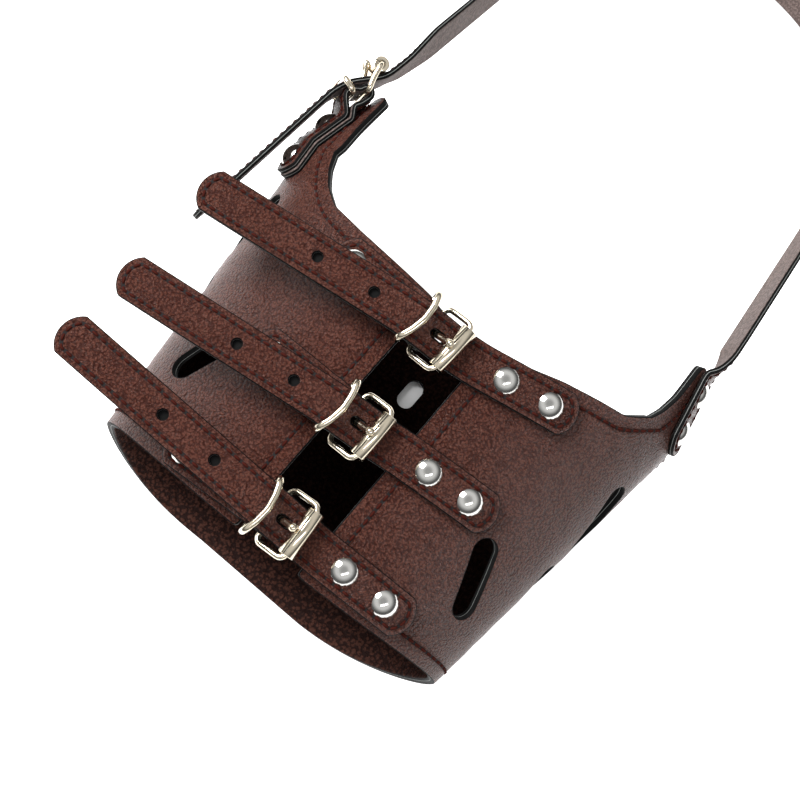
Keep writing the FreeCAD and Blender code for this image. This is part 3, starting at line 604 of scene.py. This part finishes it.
def leather_sheet(
    name, outline, holes, place, low, high, seams, grid, sign=1, line=None, undulate=0.0, back=BACK, shaded_holes=0
):
    """Leather cut flat and laid on a surface: two faces, a painted edge with a ply line, and stitch grooves
    darkened with painted shade.

    place takes flat points to the surface, and low and high are the heights of the faces over it.
    The first holes, as many as the last argument counts, get a black disc near their bottom: painted shade
    that keeps them dark.
    """
    loops = [counter_clockwise(np.asarray(outline))]
    loops += [counter_clockwise(np.asarray(hole))[::-1] for hole in holes]
    rims = [np.vstack([loop, loop[:1]]) for loop in loops]
    points, faces = cut_flat(loops, rims, seams, grid)
    edge_gap = distance_to(points, rims)
    seam_gap = distance_to(points, seams)
    outside = 1 - np.clip(edge_gap / EDGE_REACH, 0, 1)
    rounding = EDGE_DROP * (1 - np.sqrt(np.clip(1 - outside**2, 0, 1)))
    top = high - rounding - GROOVE_DEPTH * np.exp(-((seam_gap / GROOVE_HALF) ** 2))
    bottom = low + rounding * 0.6
    if undulate:
        phase = points[:, 0] * 0.31 + np.sin(points[:, 1] * 0.23) * 2
        top = top + undulate * np.sin(phase) * np.sin(points[:, 1] * 0.37 + 1) * np.clip(edge_gap / 4, 0, 1)
    base_points = place(points)
    normal = normals_of(place, points, sign)
    upper = base_points + normal * top[:, None]
    lower = base_points + normal * bottom[:, None]
    count = len(points)
    verts = [*upper, *lower]
    made_faces = [face if sign > 0 else face[::-1] for face in faces]
    # Faces along the stitch lines get a near-black colour: painted shade in the grooves.
    painted, in_groove_shade = edge_gap < PAINTED, seam_gap < GROOVE_HALF
    indices = []
    for face in faces:
        corners = list(face)
        beside_seam = GROOVE_SHADE_SLOT if in_groove_shade[corners].all() else FRONT_SLOT
        indices.append(EDGE_AND_HOLE_SHADE_SLOT if painted[corners].all() else beside_seam)
    made_faces += [tuple(count + i for i in (face[::-1] if sign > 0 else face)) for face in faces]
    indices += [BACK_SLOT] * len(faces)
    ply_line = (low + high) / 2 if line is None else line
    for loop in loops:
        ring = [int(np.argmin(np.linalg.norm(points - p, axis=1))) for p in loop]
        rows = [ring]
        for height in (ply_line + HAIRLINE_HALF, ply_line - HAIRLINE_HALF):
            start = len(verts)
            verts += [base_points[i] + normal[i] * height for i in ring]
            rows.append(list(range(start, start + len(ring))))
        rows.append([count + i for i in ring])
        for index, (above, below) in enumerate(zip(rows[:-1], rows[1:])):
            for i in range(len(ring)):
                j = (i + 1) % len(ring)
                quad = (above[i], below[i], below[j], above[j])
                made_faces.append(quad if sign > 0 else quad[::-1])
                indices.append(LINE_SLOT if index == 1 else EDGE_AND_HOLE_SHADE_SLOT)
    # Painted shade: a black disc near the bottom of each of the first holes.
    for loop in loops[1 : 1 + shaded_holes]:
        ring = [int(np.argmin(np.linalg.norm(points - p, axis=1))) for p in loop]
        start = len(verts)
        verts += [base_points[i] + normal[i] * (low + 0.5) for i in ring]
        made_faces.append(tuple(range(start, start + len(ring))))
        indices.append(EDGE_AND_HOLE_SHADE_SLOT)
    made = finish_mesh(name, verts, made_faces, [LEATHER, back, EDGE_PAINT_AND_HOLE_SHADE, HAIRLINE, GROOVE_SHADE], indices)
    return made


def stitches(name, lines, place, height, sign=1):
    """Sewn thread along flat lines: a row of short, sunk, rounded stitches, with a black disc at each end as
    painted shade of its needle hole.
    """
    verts, faces, indices = [], [], []
    around, along_steps = 8, 5
    turns = [2 * math.pi * j / around for j in range(around)]
    for line in lines:
        fine = dense(line, 0.25, closed=False)
        run3 = place(fine)
        run = np.concatenate([[0], np.cumsum(np.linalg.norm(np.diff(run3, axis=0), axis=1))])
        count = int(run[-1] // STITCH_PITCH)
        for k in range(count):
            start = (k + 0.13) * run[-1] / count
            finish = (k + 0.87) * run[-1] / count
            at = np.linspace(start, finish, along_steps)
            middle = np.stack([np.interp(at, run, fine[:, c]) for c in range(2)], axis=1)
            centre = place(middle)
            normal = normals_of(place, middle, sign)
            forward = np.gradient(centre, axis=0)
            forward /= np.linalg.norm(forward, axis=1)[:, None]
            side = np.cross(normal, forward)
            lift = np.sin(np.linspace(0, math.pi, along_steps)) * 0.22
            thick = 0.20 + 0.32 * np.sin(np.linspace(0.12, math.pi - 0.12, along_steps)) ** 0.5
            first = len(verts)
            for i in range(along_steps):
                core = centre[i] + normal[i] * (height - 0.22 + lift[i])
                for angle in turns:
                    out = side[i] * math.cos(angle) + normal[i] * STITCH_FLATNESS * math.sin(angle)
                    verts.append(core + thick[i] * out)
            for i in range(along_steps - 1):
                for j in range(around):
                    a, b = first + i * around + j, first + i * around + (j + 1) % around
                    faces.append((a, b, b + around, a + around))
            faces.append(tuple(first + j for j in range(around))[::-1])
            faces.append(tuple(first + (along_steps - 1) * around + j for j in range(around)))
            indices += [0] * (len(faces) - len(indices))
            # Painted shade: a black disc at each end of a stitch, where its needle hole is.
            for i, way in ((0, -1), (along_steps - 1, 1)):
                middle = centre[i] + forward[i] * way * 0.12 + normal[i] * (height - 0.20)
                start = len(verts)
                for angle in turns:
                    out = forward[i] * 0.75 * math.cos(angle) + side[i] * math.sin(angle)
                    verts.append(middle + 0.68 * out)
                verts.append(middle + normal[i] * 0.14)
                faces += [(start + j, start + (j + 1) % around, start + around) for j in range(around)]
            indices += [1] * (len(faces) - len(indices))
    made = finish_mesh(name, verts, faces, [THREAD, NEEDLE_HOLE_SHADE], indices)
    return made


# ---------------------------------------------------------------- sleeve
def front_rim_y(turn):
    """The nose edge's y by its angle from the top, furthest forward at the belly."""
    angle = math.radians(turn)
    return -68.04 + 3.34 * math.cos(angle) - 3.0 * math.cos(2 * angle)


def front_rim(side):
    """From the belly's middle to the gap."""
    points = [(0.0, front_rim_y(180.0))]
    for turn in np.arange(180.0, 5.0, -2.5):
        y = front_rim_y(turn) + side * RIM_SKEW * math.sin(math.radians(turn))
        points.append((side * run_where(y, TURN, turn), y))
    limit = run_where(FRONT_Y, ACROSS, GAP_HALF)
    points = [p for p in points if abs(p[0]) < limit - 1]
    points.append((side * limit, points[-1][1] + 0.1))
    return points


def profile_arc(corner, before, after, radius):
    """The arc that rounds a corner between the points before and after it."""
    corner, before, after = (np.array(p, float) for p in (corner, before, after))
    back = (before - corner) / np.linalg.norm(before - corner)
    ahead = (after - corner) / np.linalg.norm(after - corner)
    half = math.acos(float(back @ ahead)) / 2
    trim = radius / math.tan(half)
    centre = corner + (back + ahead) / np.linalg.norm(back + ahead) * radius / math.sin(half)
    start, finish = corner + back * trim - centre, corner + ahead * trim - centre
    made = []
    for share in np.linspace(0, 1, 12):
        mixed = start * (1 - share) + finish * share
        made.append(tuple(centre + mixed / np.linalg.norm(mixed) * radius))
    return made


def rear_rim(side):
    """From the gap back over the ear tab and down to the belly's middle."""
    profile = list(REAR_RIM[side])
    top, low, root = TAB_Z + TAB_TIP_HALF, TAB_Z - TAB_TIP_HALF, TAB_Z - TAB_ROOT_HALF
    profile += profile_arc((TAB_TIP_Y, top), profile[-1], (TAB_TIP_Y, low), 5.0)
    profile += profile_arc((TAB_TIP_Y, low), (TAB_TIP_Y, top), (52, root), 5.0)
    profile += profile_arc((52, root), (TAB_TIP_Y, low), (46, 30), 12.0)
    profile += [(45.6, 18.0), (45.1, 4.0)]
    line = [(side * run_where(y, UP, z), y) for y, z in profile]
    limit = run_where(30.0, ACROSS, GAP_HALF)
    line = [p for p in dense(line, 0.8, closed=False) if abs(p[0]) < limit]
    line = [(side * limit, line[0][1])] + line
    return [tuple(p) for p in line] + [(0.0, BELLY_REAR_Y)]


def sleeve_outline():
    right = front_rim(1)[::-1]
    left = front_rim(-1)
    loop = right + left[1:] + rear_rim(-1) + rear_rim(1)[::-1][1:]
    return softened(dense(loop, 0.8), 3)


def rim_seam(loop, distance):
    """Stitch line inside a closed outline, as one closed line."""
    rim = [np.vstack([loop, loop[:1]])]
    moved = softened(inset(loop, distance), 2)
    moved = moved[distance_to(moved, rim) > distance * 0.95]
    return np.vstack([moved, moved[:1]])


def slot_loops():
    loops = []
    for side in (-1, 1):
        for distance, y, turn in SIDE_SLOTS:
            loop = stadium((distance, y), SLOT_LENGTH, SLOT_WIDTH, 90 + turn)
            loops.append(np.array([(side * (section_table(at)[RUN][-1] - run), at) for run, at in loop]))
    loops.append(stadium((0, VENT_Y), VENT_LENGTH, VENT_WIDTH, 90))
    return loops


outline = counter_clockwise(sleeve_outline())
slots = slot_loops()
sleeve_seam = rim_seam(outline, RIM_SEAM)
sleeve = leather_sheet(
    "sleeve_leather", outline, slots, skin, -WALL, 0.0, [sleeve_seam],
    grid=2.6, sign=-1, line=PLY_LINE, undulate=0.12, back=LINING,
)
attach(sleeve, "sleeve")
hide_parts("sleeve_outer", "sleeve_lining")
thread = stitches("sleeve_stitches", [sleeve_seam], skin, 0.0, sign=-1)
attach(thread, "sleeve")


# ---------------------------------------------------------------- closing straps
def strap_profile(name, length, root=13.6, root_height=0.06):
    """Height of the strap's lower face over its run, from the root to the tip."""
    end = FLEX_U - length
    drop = math.tan(math.radians(TIP_SLOPE[name])) * length
    over_fold = [(end - 5, 6.8 + drop), (FLEX_U, 6.8), (-12.5, 6.35)]
    under_roller = [(-7.5, 4.1), (0.0, 0.35)]
    corners = np.array(over_fold + under_roller + [(root, root_height), (60.0, root_height)])
    run = np.arange(end - 5, 60.0, 0.25)
    heights = np.interp(run, corners[:, 0], corners[:, 1])
    eased = smoothed(np.stack([run, heights], axis=1), 9)
    return eased[:, 0], eased[:, 1]


def strap_place(axes, name, length):
    run, heights = strap_profile(name, length)
    bend = root_bend(axes, name)
    stations, line_u, line_v, heading = bent_run(ROOT_START - axes.origin[0], bend, -120.0, 62.0)

    def place(flat):
        p, q = flat[:, 0], flat[:, 1]
        turn = np.interp(p, stations, heading)
        u = np.interp(p, stations, line_u) - q * np.sin(turn)
        v = np.interp(p, stations, line_v) + q * np.cos(turn)
        w = np.interp(p, run, heights)
        rooted = p > 10.5
        if rooted.any():
            share = blend_share(p[rooted], 10.5, 16.5)
            low = axes.skin_height(u[rooted], v[rooted])
            w[rooted] = w[rooted] * (1 - share) + low * share
        return axes.at(u, v, w)

    return place


def make_closure(name):
    axes = strap_axes(name)
    low, high = TIP_X - axes.origin[0], ROOT_END - axes.origin[0]
    place = strap_place(axes, name, FLEX_U - low)
    holes = strap_holes(FIRST_HOLE_X[name] - axes.origin[0]) + [prong_hole(PRONG_HOLE_U)]
    cut, seams = strap_cut(low, high)
    top = STRAP_PLY
    strap = leather_sheet("strap_leather_" + name, cut, holes, place, 0.0, top, seams, grid=1.6, shaded_holes=2)
    thread = stitches("strap_stitches_" + name, seams, place, top)
    start, finish = (axes.at([u], [0.0], [FLEX_W])[0] * MM for u in (BEND_FROM_U, BEND_TO_U))
    for piece in (strap, thread):
        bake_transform(piece)
    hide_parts("strap_" + name, "strap_tip_" + name)


def tab_path(end, base):
    """Middle line of a folded buckle tab: along the skin, round the heel bar and back on top of itself."""
    half = STRAP_PLY / 2
    centre = np.array((HEEL_U, HEEL_W))
    radius = half + 1.05
    points = [(end, half), (-20.0, half), (-13.0, half + base)]
    for angle in np.radians(np.linspace(-100, 110, 16)):
        points.append(tuple(centre + radius * np.array((math.cos(angle), math.sin(angle)))))
    points += [(-12.4, 3.75 + half), (-17.0, 3.75 + half), (-21.0, STRAP_PLY + half), (end, STRAP_PLY + half)]
    return smoothed(dense(points, 0.25, closed=False), 5)


def make_tab(name, end, base):
    axes = buckle_axes(name)
    path = tab_path(end, base)
    steps = np.linalg.norm(np.diff(path, axis=0), axis=1)
    run = np.concatenate([[0], np.cumsum(steps)])

    def place(flat):
        p, v = flat[:, 0], flat[:, 1]
        u = np.interp(p, run, path[:, 0])
        w = np.interp(p, run, path[:, 1])
        ref = np.zeros(len(u))
        resting = u < -14.5
        if resting.any():
            share = blend_share(-u[resting], 14.5, 20.0)
            ref[resting] = share * (axes.skin_height(u[resting], v[resting]) - 0.02)
        return axes.at(u, v, w + ref)

    total = run[-1]
    heel = run[int(np.argmax(path[:, 0]))]
    slot = stadium((heel, 0), HEEL_SLOT_LENGTH, HEEL_SLOT_WIDTH, 0, 0.5)
    cut, seams = strap_cut(0.0, total)
    half = STRAP_PLY / 2
    tab = leather_sheet("tab_leather_" + name, cut, [slot], place, -half, half, seams, grid=1.6, sign=-1)
    thread = stitches("tab_stitches_" + name, seams, place, half, sign=-1)
    for piece in (tab, thread):
        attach(piece, "sleeve")
    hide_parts("buckle_tab_" + name)


for closure in CLOSURES:
    make_closure(closure)
    make_tab(closure, -TAB_END - buckle_axes(closure).origin[0], 0.0)


# ---------------------------------------------------------------- neck strap
def side_skin_x(y, z):
    """Half the skin's width at a height."""
    wide, high = half_width(y), half_height(y)
    share = np.clip(np.abs(z - high) / high, 0, 1) ** ROUNDNESS
    return wide * (1 - share) ** (1 / ROUNDNESS)


hinge = joint_place("neck_loop_swing")
SLOPE = math.asin((hinge[2] - HALF_STRAP - 0.4) / (LOOP_STRAIGHT + LOOP_HALF_WIDTH))


def loop_stations(neck):
    """Middle line of the neck strap and its upward direction, from the right tab round to the left buckle."""
    middles, ups = [], []

    def add(point, up):
        middles.append(np.array(point, float))
        ups.append(np.array(up, float) / np.linalg.norm(up))

    half = STRAP_PLY / 2
    for y in np.arange(NECK_END_Y, 83.0, 1.0):
        x_low, x_high = side_skin_x(y, TAB_Z - 6), side_skin_x(y, TAB_Z + 6)
        add((side_skin_x(y, TAB_Z) + half, y, TAB_Z), (x_high - x_low, 0, 12))
    lean = math.radians(LOOP_LEAN)
    forward = np.array((0, math.cos(SLOPE), -math.sin(SLOPE)))
    upward = np.array((0, math.sin(SLOPE), math.cos(SLOPE)))
    start = middles[-1]
    hub = np.array((0, hinge[1], hinge[2]))
    for share in np.linspace(0.15, 1, 12):
        point = start * (1 - share) + (hub + (NECK_HINGE_X, 0, 0)) * share
        point[0] += 1.3 * math.sin(math.pi * share)
        tilt = -0.2 + (lean + 0.2) * share
        add(point, (math.sin(tilt), 0, math.cos(tilt)))
    distance = np.arange(2.0, LOOP_STRAIGHT, 2.0)
    for d in distance:
        x = NECK_HINGE_X - (NECK_HINGE_X - LOOP_HALF_WIDTH) * d / LOOP_STRAIGHT
        up = upward * math.cos(lean) + np.array((math.sin(lean), 0, 0))
        add(hub + (x, 0, 0) + forward * d, up)
    for angle in np.radians(np.arange(0, 180.1, 1.5)):
        out = np.array((math.cos(angle), 0, 0)) + forward * math.sin(angle)
        point = hub + forward * LOOP_STRAIGHT + out * LOOP_HALF_WIDTH
        add(point, upward * math.cos(lean) + out * math.sin(lean))
    for d in distance[::-1]:
        x = -NECK_HINGE_X + (NECK_HINGE_X - LOOP_HALF_WIDTH) * d / LOOP_STRAIGHT
        share = min(d / 20, 1)
        tilt = lean * share - math.radians(10) * (1 - share)
        up = upward * math.cos(tilt) - np.array((math.sin(tilt), 0, 0))
        add(hub + (x, 0, 0) + forward * d, up)
    run, heights = strap_profile("neck", NECK_TIP_LENGTH, 6.0, 0.2)
    for u in np.arange(4.0, NECK_JOIN_U, -1.0):
        add(neck.at([u], [0.0], [float(np.interp(u, run, heights)) + half])[0], -neck.v)
    return np.array(middles), np.array(ups)


def make_neck_band(neck):
    middles, ups = loop_stations(neck)
    both = dense(np.hstack([middles, ups * 20]), 1.0, closed=False)
    lines = smoothed(both, 4)
    middles, ups = lines[:, :3], lines[:, 3:]
    ups /= np.linalg.norm(ups, axis=1)[:, None]
    run = np.concatenate([[0], np.cumsum(np.linalg.norm(np.diff(middles, axis=0), axis=1))])

    def place(flat):
        p, q = flat[:, 0], flat[:, 1]
        inner = np.clip(p, 0, run[-1])
        point = np.stack([np.interp(inner, run, middles[:, k]) for k in range(3)], axis=1)
        up = np.stack([np.interp(inner, run, ups[:, k]) for k in range(3)], axis=1)
        ahead = np.where(p > run[-1], p - run[-1], np.where(p < 0, p, 0))
        first = (middles[1] - middles[0]) / np.linalg.norm(middles[1] - middles[0])
        last = (middles[-1] - middles[-2]) / np.linalg.norm(middles[-1] - middles[-2])
        point += np.where(p < 0, 1, 0)[:, None] * ahead[:, None] * first
        point += np.where(p > run[-1], 1, 0)[:, None] * ahead[:, None] * last
        return point + up * q[:, None]

    total = run[-1]
    holes = [prong_hole(total + NECK_JOIN_U - PRONG_HOLE_U)]
    cut, seams = strap_cut(0.0, total, high_round=False)
    half = STRAP_PLY / 2
    band = leather_sheet("neck_leather", cut, holes, place, -half, half, seams, grid=2.0)
    thread = stitches("neck_stitches", seams, place, half)
    for piece in (band, thread):
        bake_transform(piece)
    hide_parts("neck_loop", "strap_neck_riveted", "strap_neck_buckled")


def make_neck_tip(neck):
    run, heights = strap_profile("neck", NECK_TIP_LENGTH, 6.0, 0.2)

    def place(flat):
        return neck.at(flat[:, 0], flat[:, 1], np.interp(flat[:, 0], run, heights))

    cut, seams = strap_cut(FLEX_U - NECK_TIP_LENGTH, NECK_TIP_START_U, high_round=False)
    holes = strap_holes(FIRST_HOLE_X["neck"])
    tip = leather_sheet("neck_tip_leather", cut, holes, place, 0.0, STRAP_PLY, seams, grid=1.6, shaded_holes=2)
    thread = stitches("neck_tip_stitches", seams, place, STRAP_PLY)
    start, finish = (neck.at([u], [0.0], [FLEX_W])[0] * MM for u in (BEND_FROM_U, BEND_TO_U))
    for piece in (tip, thread):
        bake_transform(piece)
    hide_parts("strap_tip_neck")


make_neck_band(strap_axes("neck"))
make_neck_tip(strap_axes("neck"))
make_tab("neck", -50.0, -2.5)


# ---------------------------------------------------------------- hardware
def swept(name, path, section, across, body, closed=False):
    """Plated metal: a section of (side, out) points swept along a path; across is each station's side."""
    path = np.asarray(path, float)
    if closed:
        ahead = np.roll(path, -1, axis=0) - np.roll(path, 1, axis=0)
    else:
        ahead = np.gradient(path, axis=0)
    ahead /= np.linalg.norm(ahead, axis=1)[:, None]
    side = across - ahead * np.sum(across * ahead, axis=1)[:, None]
    side /= np.linalg.norm(side, axis=1)[:, None]
    out = np.cross(ahead, side)
    faces = []
    count = len(section)
    verts = [path[i] + side[i] * a + out[i] * b for i in range(len(path)) for a, b in section]
    for i in range(len(path) if closed else len(path) - 1):
        j = (i + 1) % len(path)
        for k in range(count):
            m = (k + 1) % count
            faces.append((i * count + k, i * count + m, j * count + m, j * count + k))
    if not closed:
        faces.append(tuple(range(count))[::-1])
        faces.append(tuple((len(path) - 1) * count + k for k in range(count)))
    made = finish_mesh(name, verts, faces, [PLATE], [0] * len(faces), body)
    return made


def circle(radius, count=14):
    angles = np.linspace(0, 2 * math.pi, count, endpoint=False)
    return np.stack([np.cos(angles) * radius, np.sin(angles) * radius], axis=1)


def corner_path(half, length, bend):
    """Middle line of the wire frame from the heel bar round to the roller bar, in its own plane."""
    points = []
    far, side = length - bend, half - bend
    for x, y, first in ((bend, -side, 180), (far, -side, 270), (far, side, 0), (bend, side, 90)):
        for angle in np.radians(np.linspace(first, first + 90, 9)):
            points.append((x + bend * math.cos(angle), y + bend * math.sin(angle)))
    return np.array(points)


def frame_seat(axes):
    """Places in a tilted buckle: a from the heel bar towards the roller, v across, b off its plane."""
    tilt = math.radians(FRAME_TILT)

    def seat(a, v, b):
        u = HEEL_U + np.asarray(a) * math.cos(tilt) - np.asarray(b) * math.sin(tilt)
        w = HEEL_W + np.asarray(a) * math.sin(tilt) + np.asarray(b) * math.cos(tilt)
        return axes.at(u, np.asarray(v, float), w)

    return seat


def make_frame_wire(name, axes, seat):
    tilt = math.radians(FRAME_TILT)
    flat = dense(corner_path(FRAME_HALF, FRAME_LENGTH, 2.4), 0.5)
    arch = 0.5 * np.sin(np.clip(flat[:, 0] / FRAME_LENGTH, 0, 1) * math.pi)
    path = seat(flat[:, 0], flat[:, 1], arch)
    plane = np.tile(axes.u * -math.sin(tilt) + axes.w * math.cos(tilt), (len(path), 1))
    wire = swept("frame_wire_" + name, path, circle(WIRE_RADIUS), plane, "buckle_" + name, closed=True)
    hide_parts("buckle_frame_" + name)


def make_roller(name, seat):
    """A tube rolled from sheet, with its open seam as a groove whose walls carry a painted shadow."""
    ring = [(98.0, ROLLER_RADIUS - 0.55), (101.5, ROLLER_RADIUS - 0.05)]
    ring += [(angle, ROLLER_RADIUS) for angle in np.linspace(98, 98 + 360, 45)[1:-1]]
    ring += [(98 + 356.5, ROLLER_RADIUS - 0.05)]
    angles, radii = np.radians([angle for angle, _ in ring]), np.array([radius for _, radius in ring])
    inner, bevel = -1.4, -0.25
    rows = [(-ROLLER_HALF, inner), (-ROLLER_HALF, bevel), (-ROLLER_HALF + 0.2, 0.0)]
    rows += [(-v, less) for v, less in rows[::-1]]
    verts, faces, indices = [], [], []
    for v, less in rows:
        radius = radii + less
        verts += list(seat(FRAME_LENGTH - radius * np.cos(angles), [v] * len(ring), radius * np.sin(angles)))
    count = len(ring)
    for i in range(len(rows) - 1):
        for k in range(count):
            m = (k + 1) % count
            faces.append((i * count + k, i * count + m, (i + 1) * count + m, (i + 1) * count + k))
            indices.append(1 if k in (0, count - 1) else 0)
    tube = finish_mesh("roller_tube_" + name, verts, faces, [PLATE, SHADE], indices, "roller_" + name)
    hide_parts("roller_" + name)


def make_prong(name, axes, seat):
    rise = math.asin((ROLLER_RADIUS + 0.95) / FRAME_LENGTH) + math.radians(PRONG_LIFT[name])
    out = np.linspace(0.6, PRONG_LENGTH, 30)
    bow = 0.35 * np.sin(np.clip(out / PRONG_LENGTH, 0, 1) * math.pi)
    path = seat(out * math.cos(rise), np.zeros(len(out)), out * math.sin(rise) + bow)
    around = 12
    across = np.tile(axes.v, (len(path), 1))
    made = swept("prong_pin_" + name, path, circle(1.0, around), across, "prong_" + name)
    thick = PRONG_RADIUS * (0.95 + 0.22 * blend_share(out, 9.0, 12.5))
    thick = thick * np.sqrt(np.clip((PRONG_LENGTH + 0.05 - out) / 1.1, 0.02, 1))
    for i, vertex in enumerate(made.data.vertices):
        middle = Vector(path[i // around] * MM)
        vertex.co = middle + (vertex.co - middle) * float(thick[i // around])
    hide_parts("prong_" + name)


def make_keeper(name, axes):
    """A half-round band bent into a loop, whose top leans towards the buckle."""
    half_loop = (   # v, w and share of the lean
        (0, 3.0, 0.0), (7.0, 3.0, 0.0), (9.6, 3.3, 0.0), (10.5, 4.6, 0.0), (10.5, 6.6, 0.02),
        (9.9, 8.6, 0.12), (8.3, 9.7, 0.34), (5.2, 10.3, 0.72), (0, 10.6, 1.0),
    )
    arch = [(KEEPER_BOW * share, v, w) for v, w, share in half_loop]
    loop = np.array(arch + [(u, -v, w) for u, v, w in arch[-2:0:-1]])
    loop = softened(dense(loop, 0.4), 6)
    base = float((joint_place("keeper_slide_" + name) - axes.origin) @ axes.u)
    path = axes.at(base + loop[:, 0] - 0.9, loop[:, 1], loop[:, 2])
    half_band = [(1.15, -0.45), (1.15, -0.1), (0.9, 0.3), (0.45, 0.55)]
    section = half_band + [(0.0, 0.62)] + [(-a, b) for a, b in half_band[::-1]]
    across = np.tile(axes.u, (len(path), 1))
    band = swept("keeper_band_" + name, path, section, across, "keeper_" + name, closed=True)
    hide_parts("keeper_" + name)


def make_buckle(name):
    axes = buckle_axes(name)
    seat = frame_seat(axes)
    make_frame_wire(name, axes, seat)
    make_roller(name, seat)
    make_prong(name, axes, seat)
    make_keeper(name, axes)


for buckle in CLOSURES + ("neck",):
    make_buckle(buckle)

# The rivets are the only CAD pieces that are still shown.
for part in frame["nodes"].values():
    if not part.hide_render:
        part.data.materials.clear()
        part.data.materials.append(NICKEL)


# ---------------------------------------------------------------- stage
def area_light(name, place, target, size, power):
    data = bpy.data.lights.new(name, "AREA")
    data.shape = "RECTANGLE"
    data.size, data.size_y = size
    data.energy = power
    made = bpy.data.objects.new(name, data)
    bpy.context.scene.collection.objects.link(made)
    made.location = place
    made.rotation_mode = "QUATERNION"
    made.rotation_quaternion = (Vector(target) - Vector(place)).to_track_quat("-Z", "Y")
    return made


def make_stage():
    """A white table that glows, its glow faded out right under the sleeve as painted shade, and a studio sky.
    """
    bpy.ops.mesh.primitive_plane_add(size=8.0, location=(0, 0, 0))
    floor = bpy.context.object
    floor.name = "floor"
    pale = material("floor_white", (0.92, 0.92, 0.92), 0.9)
    tree = pale.node_tree
    tree.nodes["Principled BSDF"].inputs["Emission Color"].default_value = (1, 1, 1, 1)
    # Painted shade: no glow within 30 mm of the origin, full glow from 45 mm out.
    away = tree.nodes.new("ShaderNodeVectorMath")
    away.operation = "LENGTH"
    tree.links.new(tree.nodes.new("ShaderNodeTexCoord").outputs["Object"], away.inputs[0])
    shade = node(tree, "ShaderNodeMapRange", From_Min=0.030, From_Max=0.045, To_Min=0.0, To_Max=0.85)
    tree.links.new(away.outputs["Value"], shade.inputs["Value"])
    tree.links.new(shade.outputs["Result"], tree.nodes["Principled BSDF"].inputs["Emission Strength"])
    floor.data.materials.append(pale)
    world = bpy.data.worlds.new("studio")
    bpy.context.scene.world = world
    world.use_nodes = True
    tree = world.node_tree
    split = tree.nodes.new("ShaderNodeSeparateXYZ")
    tree.links.new(tree.nodes.new("ShaderNodeTexCoord").outputs["Generated"], split.inputs[0])
    bands = ((0.0, 0.12), (0.28, 0.16), (0.50, 0.60), (0.66, 0.95), (0.82, 0.95), (0.97, 0.50))
    sky = ramp(tree, split.outputs["Z"], [(height, (grey,) * 3) for height, grey in bands])
    tree.links.new(sky.outputs["Color"], tree.nodes["Background"].inputs["Color"])
    tree.nodes["Background"].inputs["Strength"].default_value = 0.8
    area_light("key", (-0.75, 0.1, 0.75), (0, 0, 0.05), (0.5, 0.5), 17.0)
    area_light("fill", (0.35, -0.25, 0.9), (0, 0, 0.05), (0.7, 0.12), 2.0)
    bpy.context.scene.view_settings.view_transform = "Standard"


def make_camera():
    data = bpy.data.cameras.new("camera")
    camera = bpy.data.objects.new("camera", data)
    bpy.context.scene.collection.objects.link(camera)
    bpy.context.scene.camera = camera
    azimuth, elevation, roll = (math.radians(angle) for angle in (7.68, 76.055, 33.053))
    distance = 0.42848
    target = Vector((-0.0002, 0.0059, 0.046))
    level_back = Vector((math.sin(azimuth), -math.cos(azimuth), 0)) * math.cos(elevation)
    back = level_back + Vector((0, 0, math.sin(elevation)))
    right = Vector((math.cos(azimuth), math.sin(azimuth), 0))
    up = back.cross(right)
    turned_right = right * math.cos(roll) + up * math.sin(roll)
    turned_up = up * math.cos(roll) - right * math.sin(roll)
    turned = Matrix((turned_right, turned_up, back)).transposed()
    camera.matrix_world = Matrix.Translation(target + back * distance) @ turned.to_4x4()
    data.lens = 54.2
    data.sensor_width = 36.0
    data.clip_start, data.clip_end = 0.02, 20.0


make_stage()
make_camera()

bpy.context.view_layer.update()
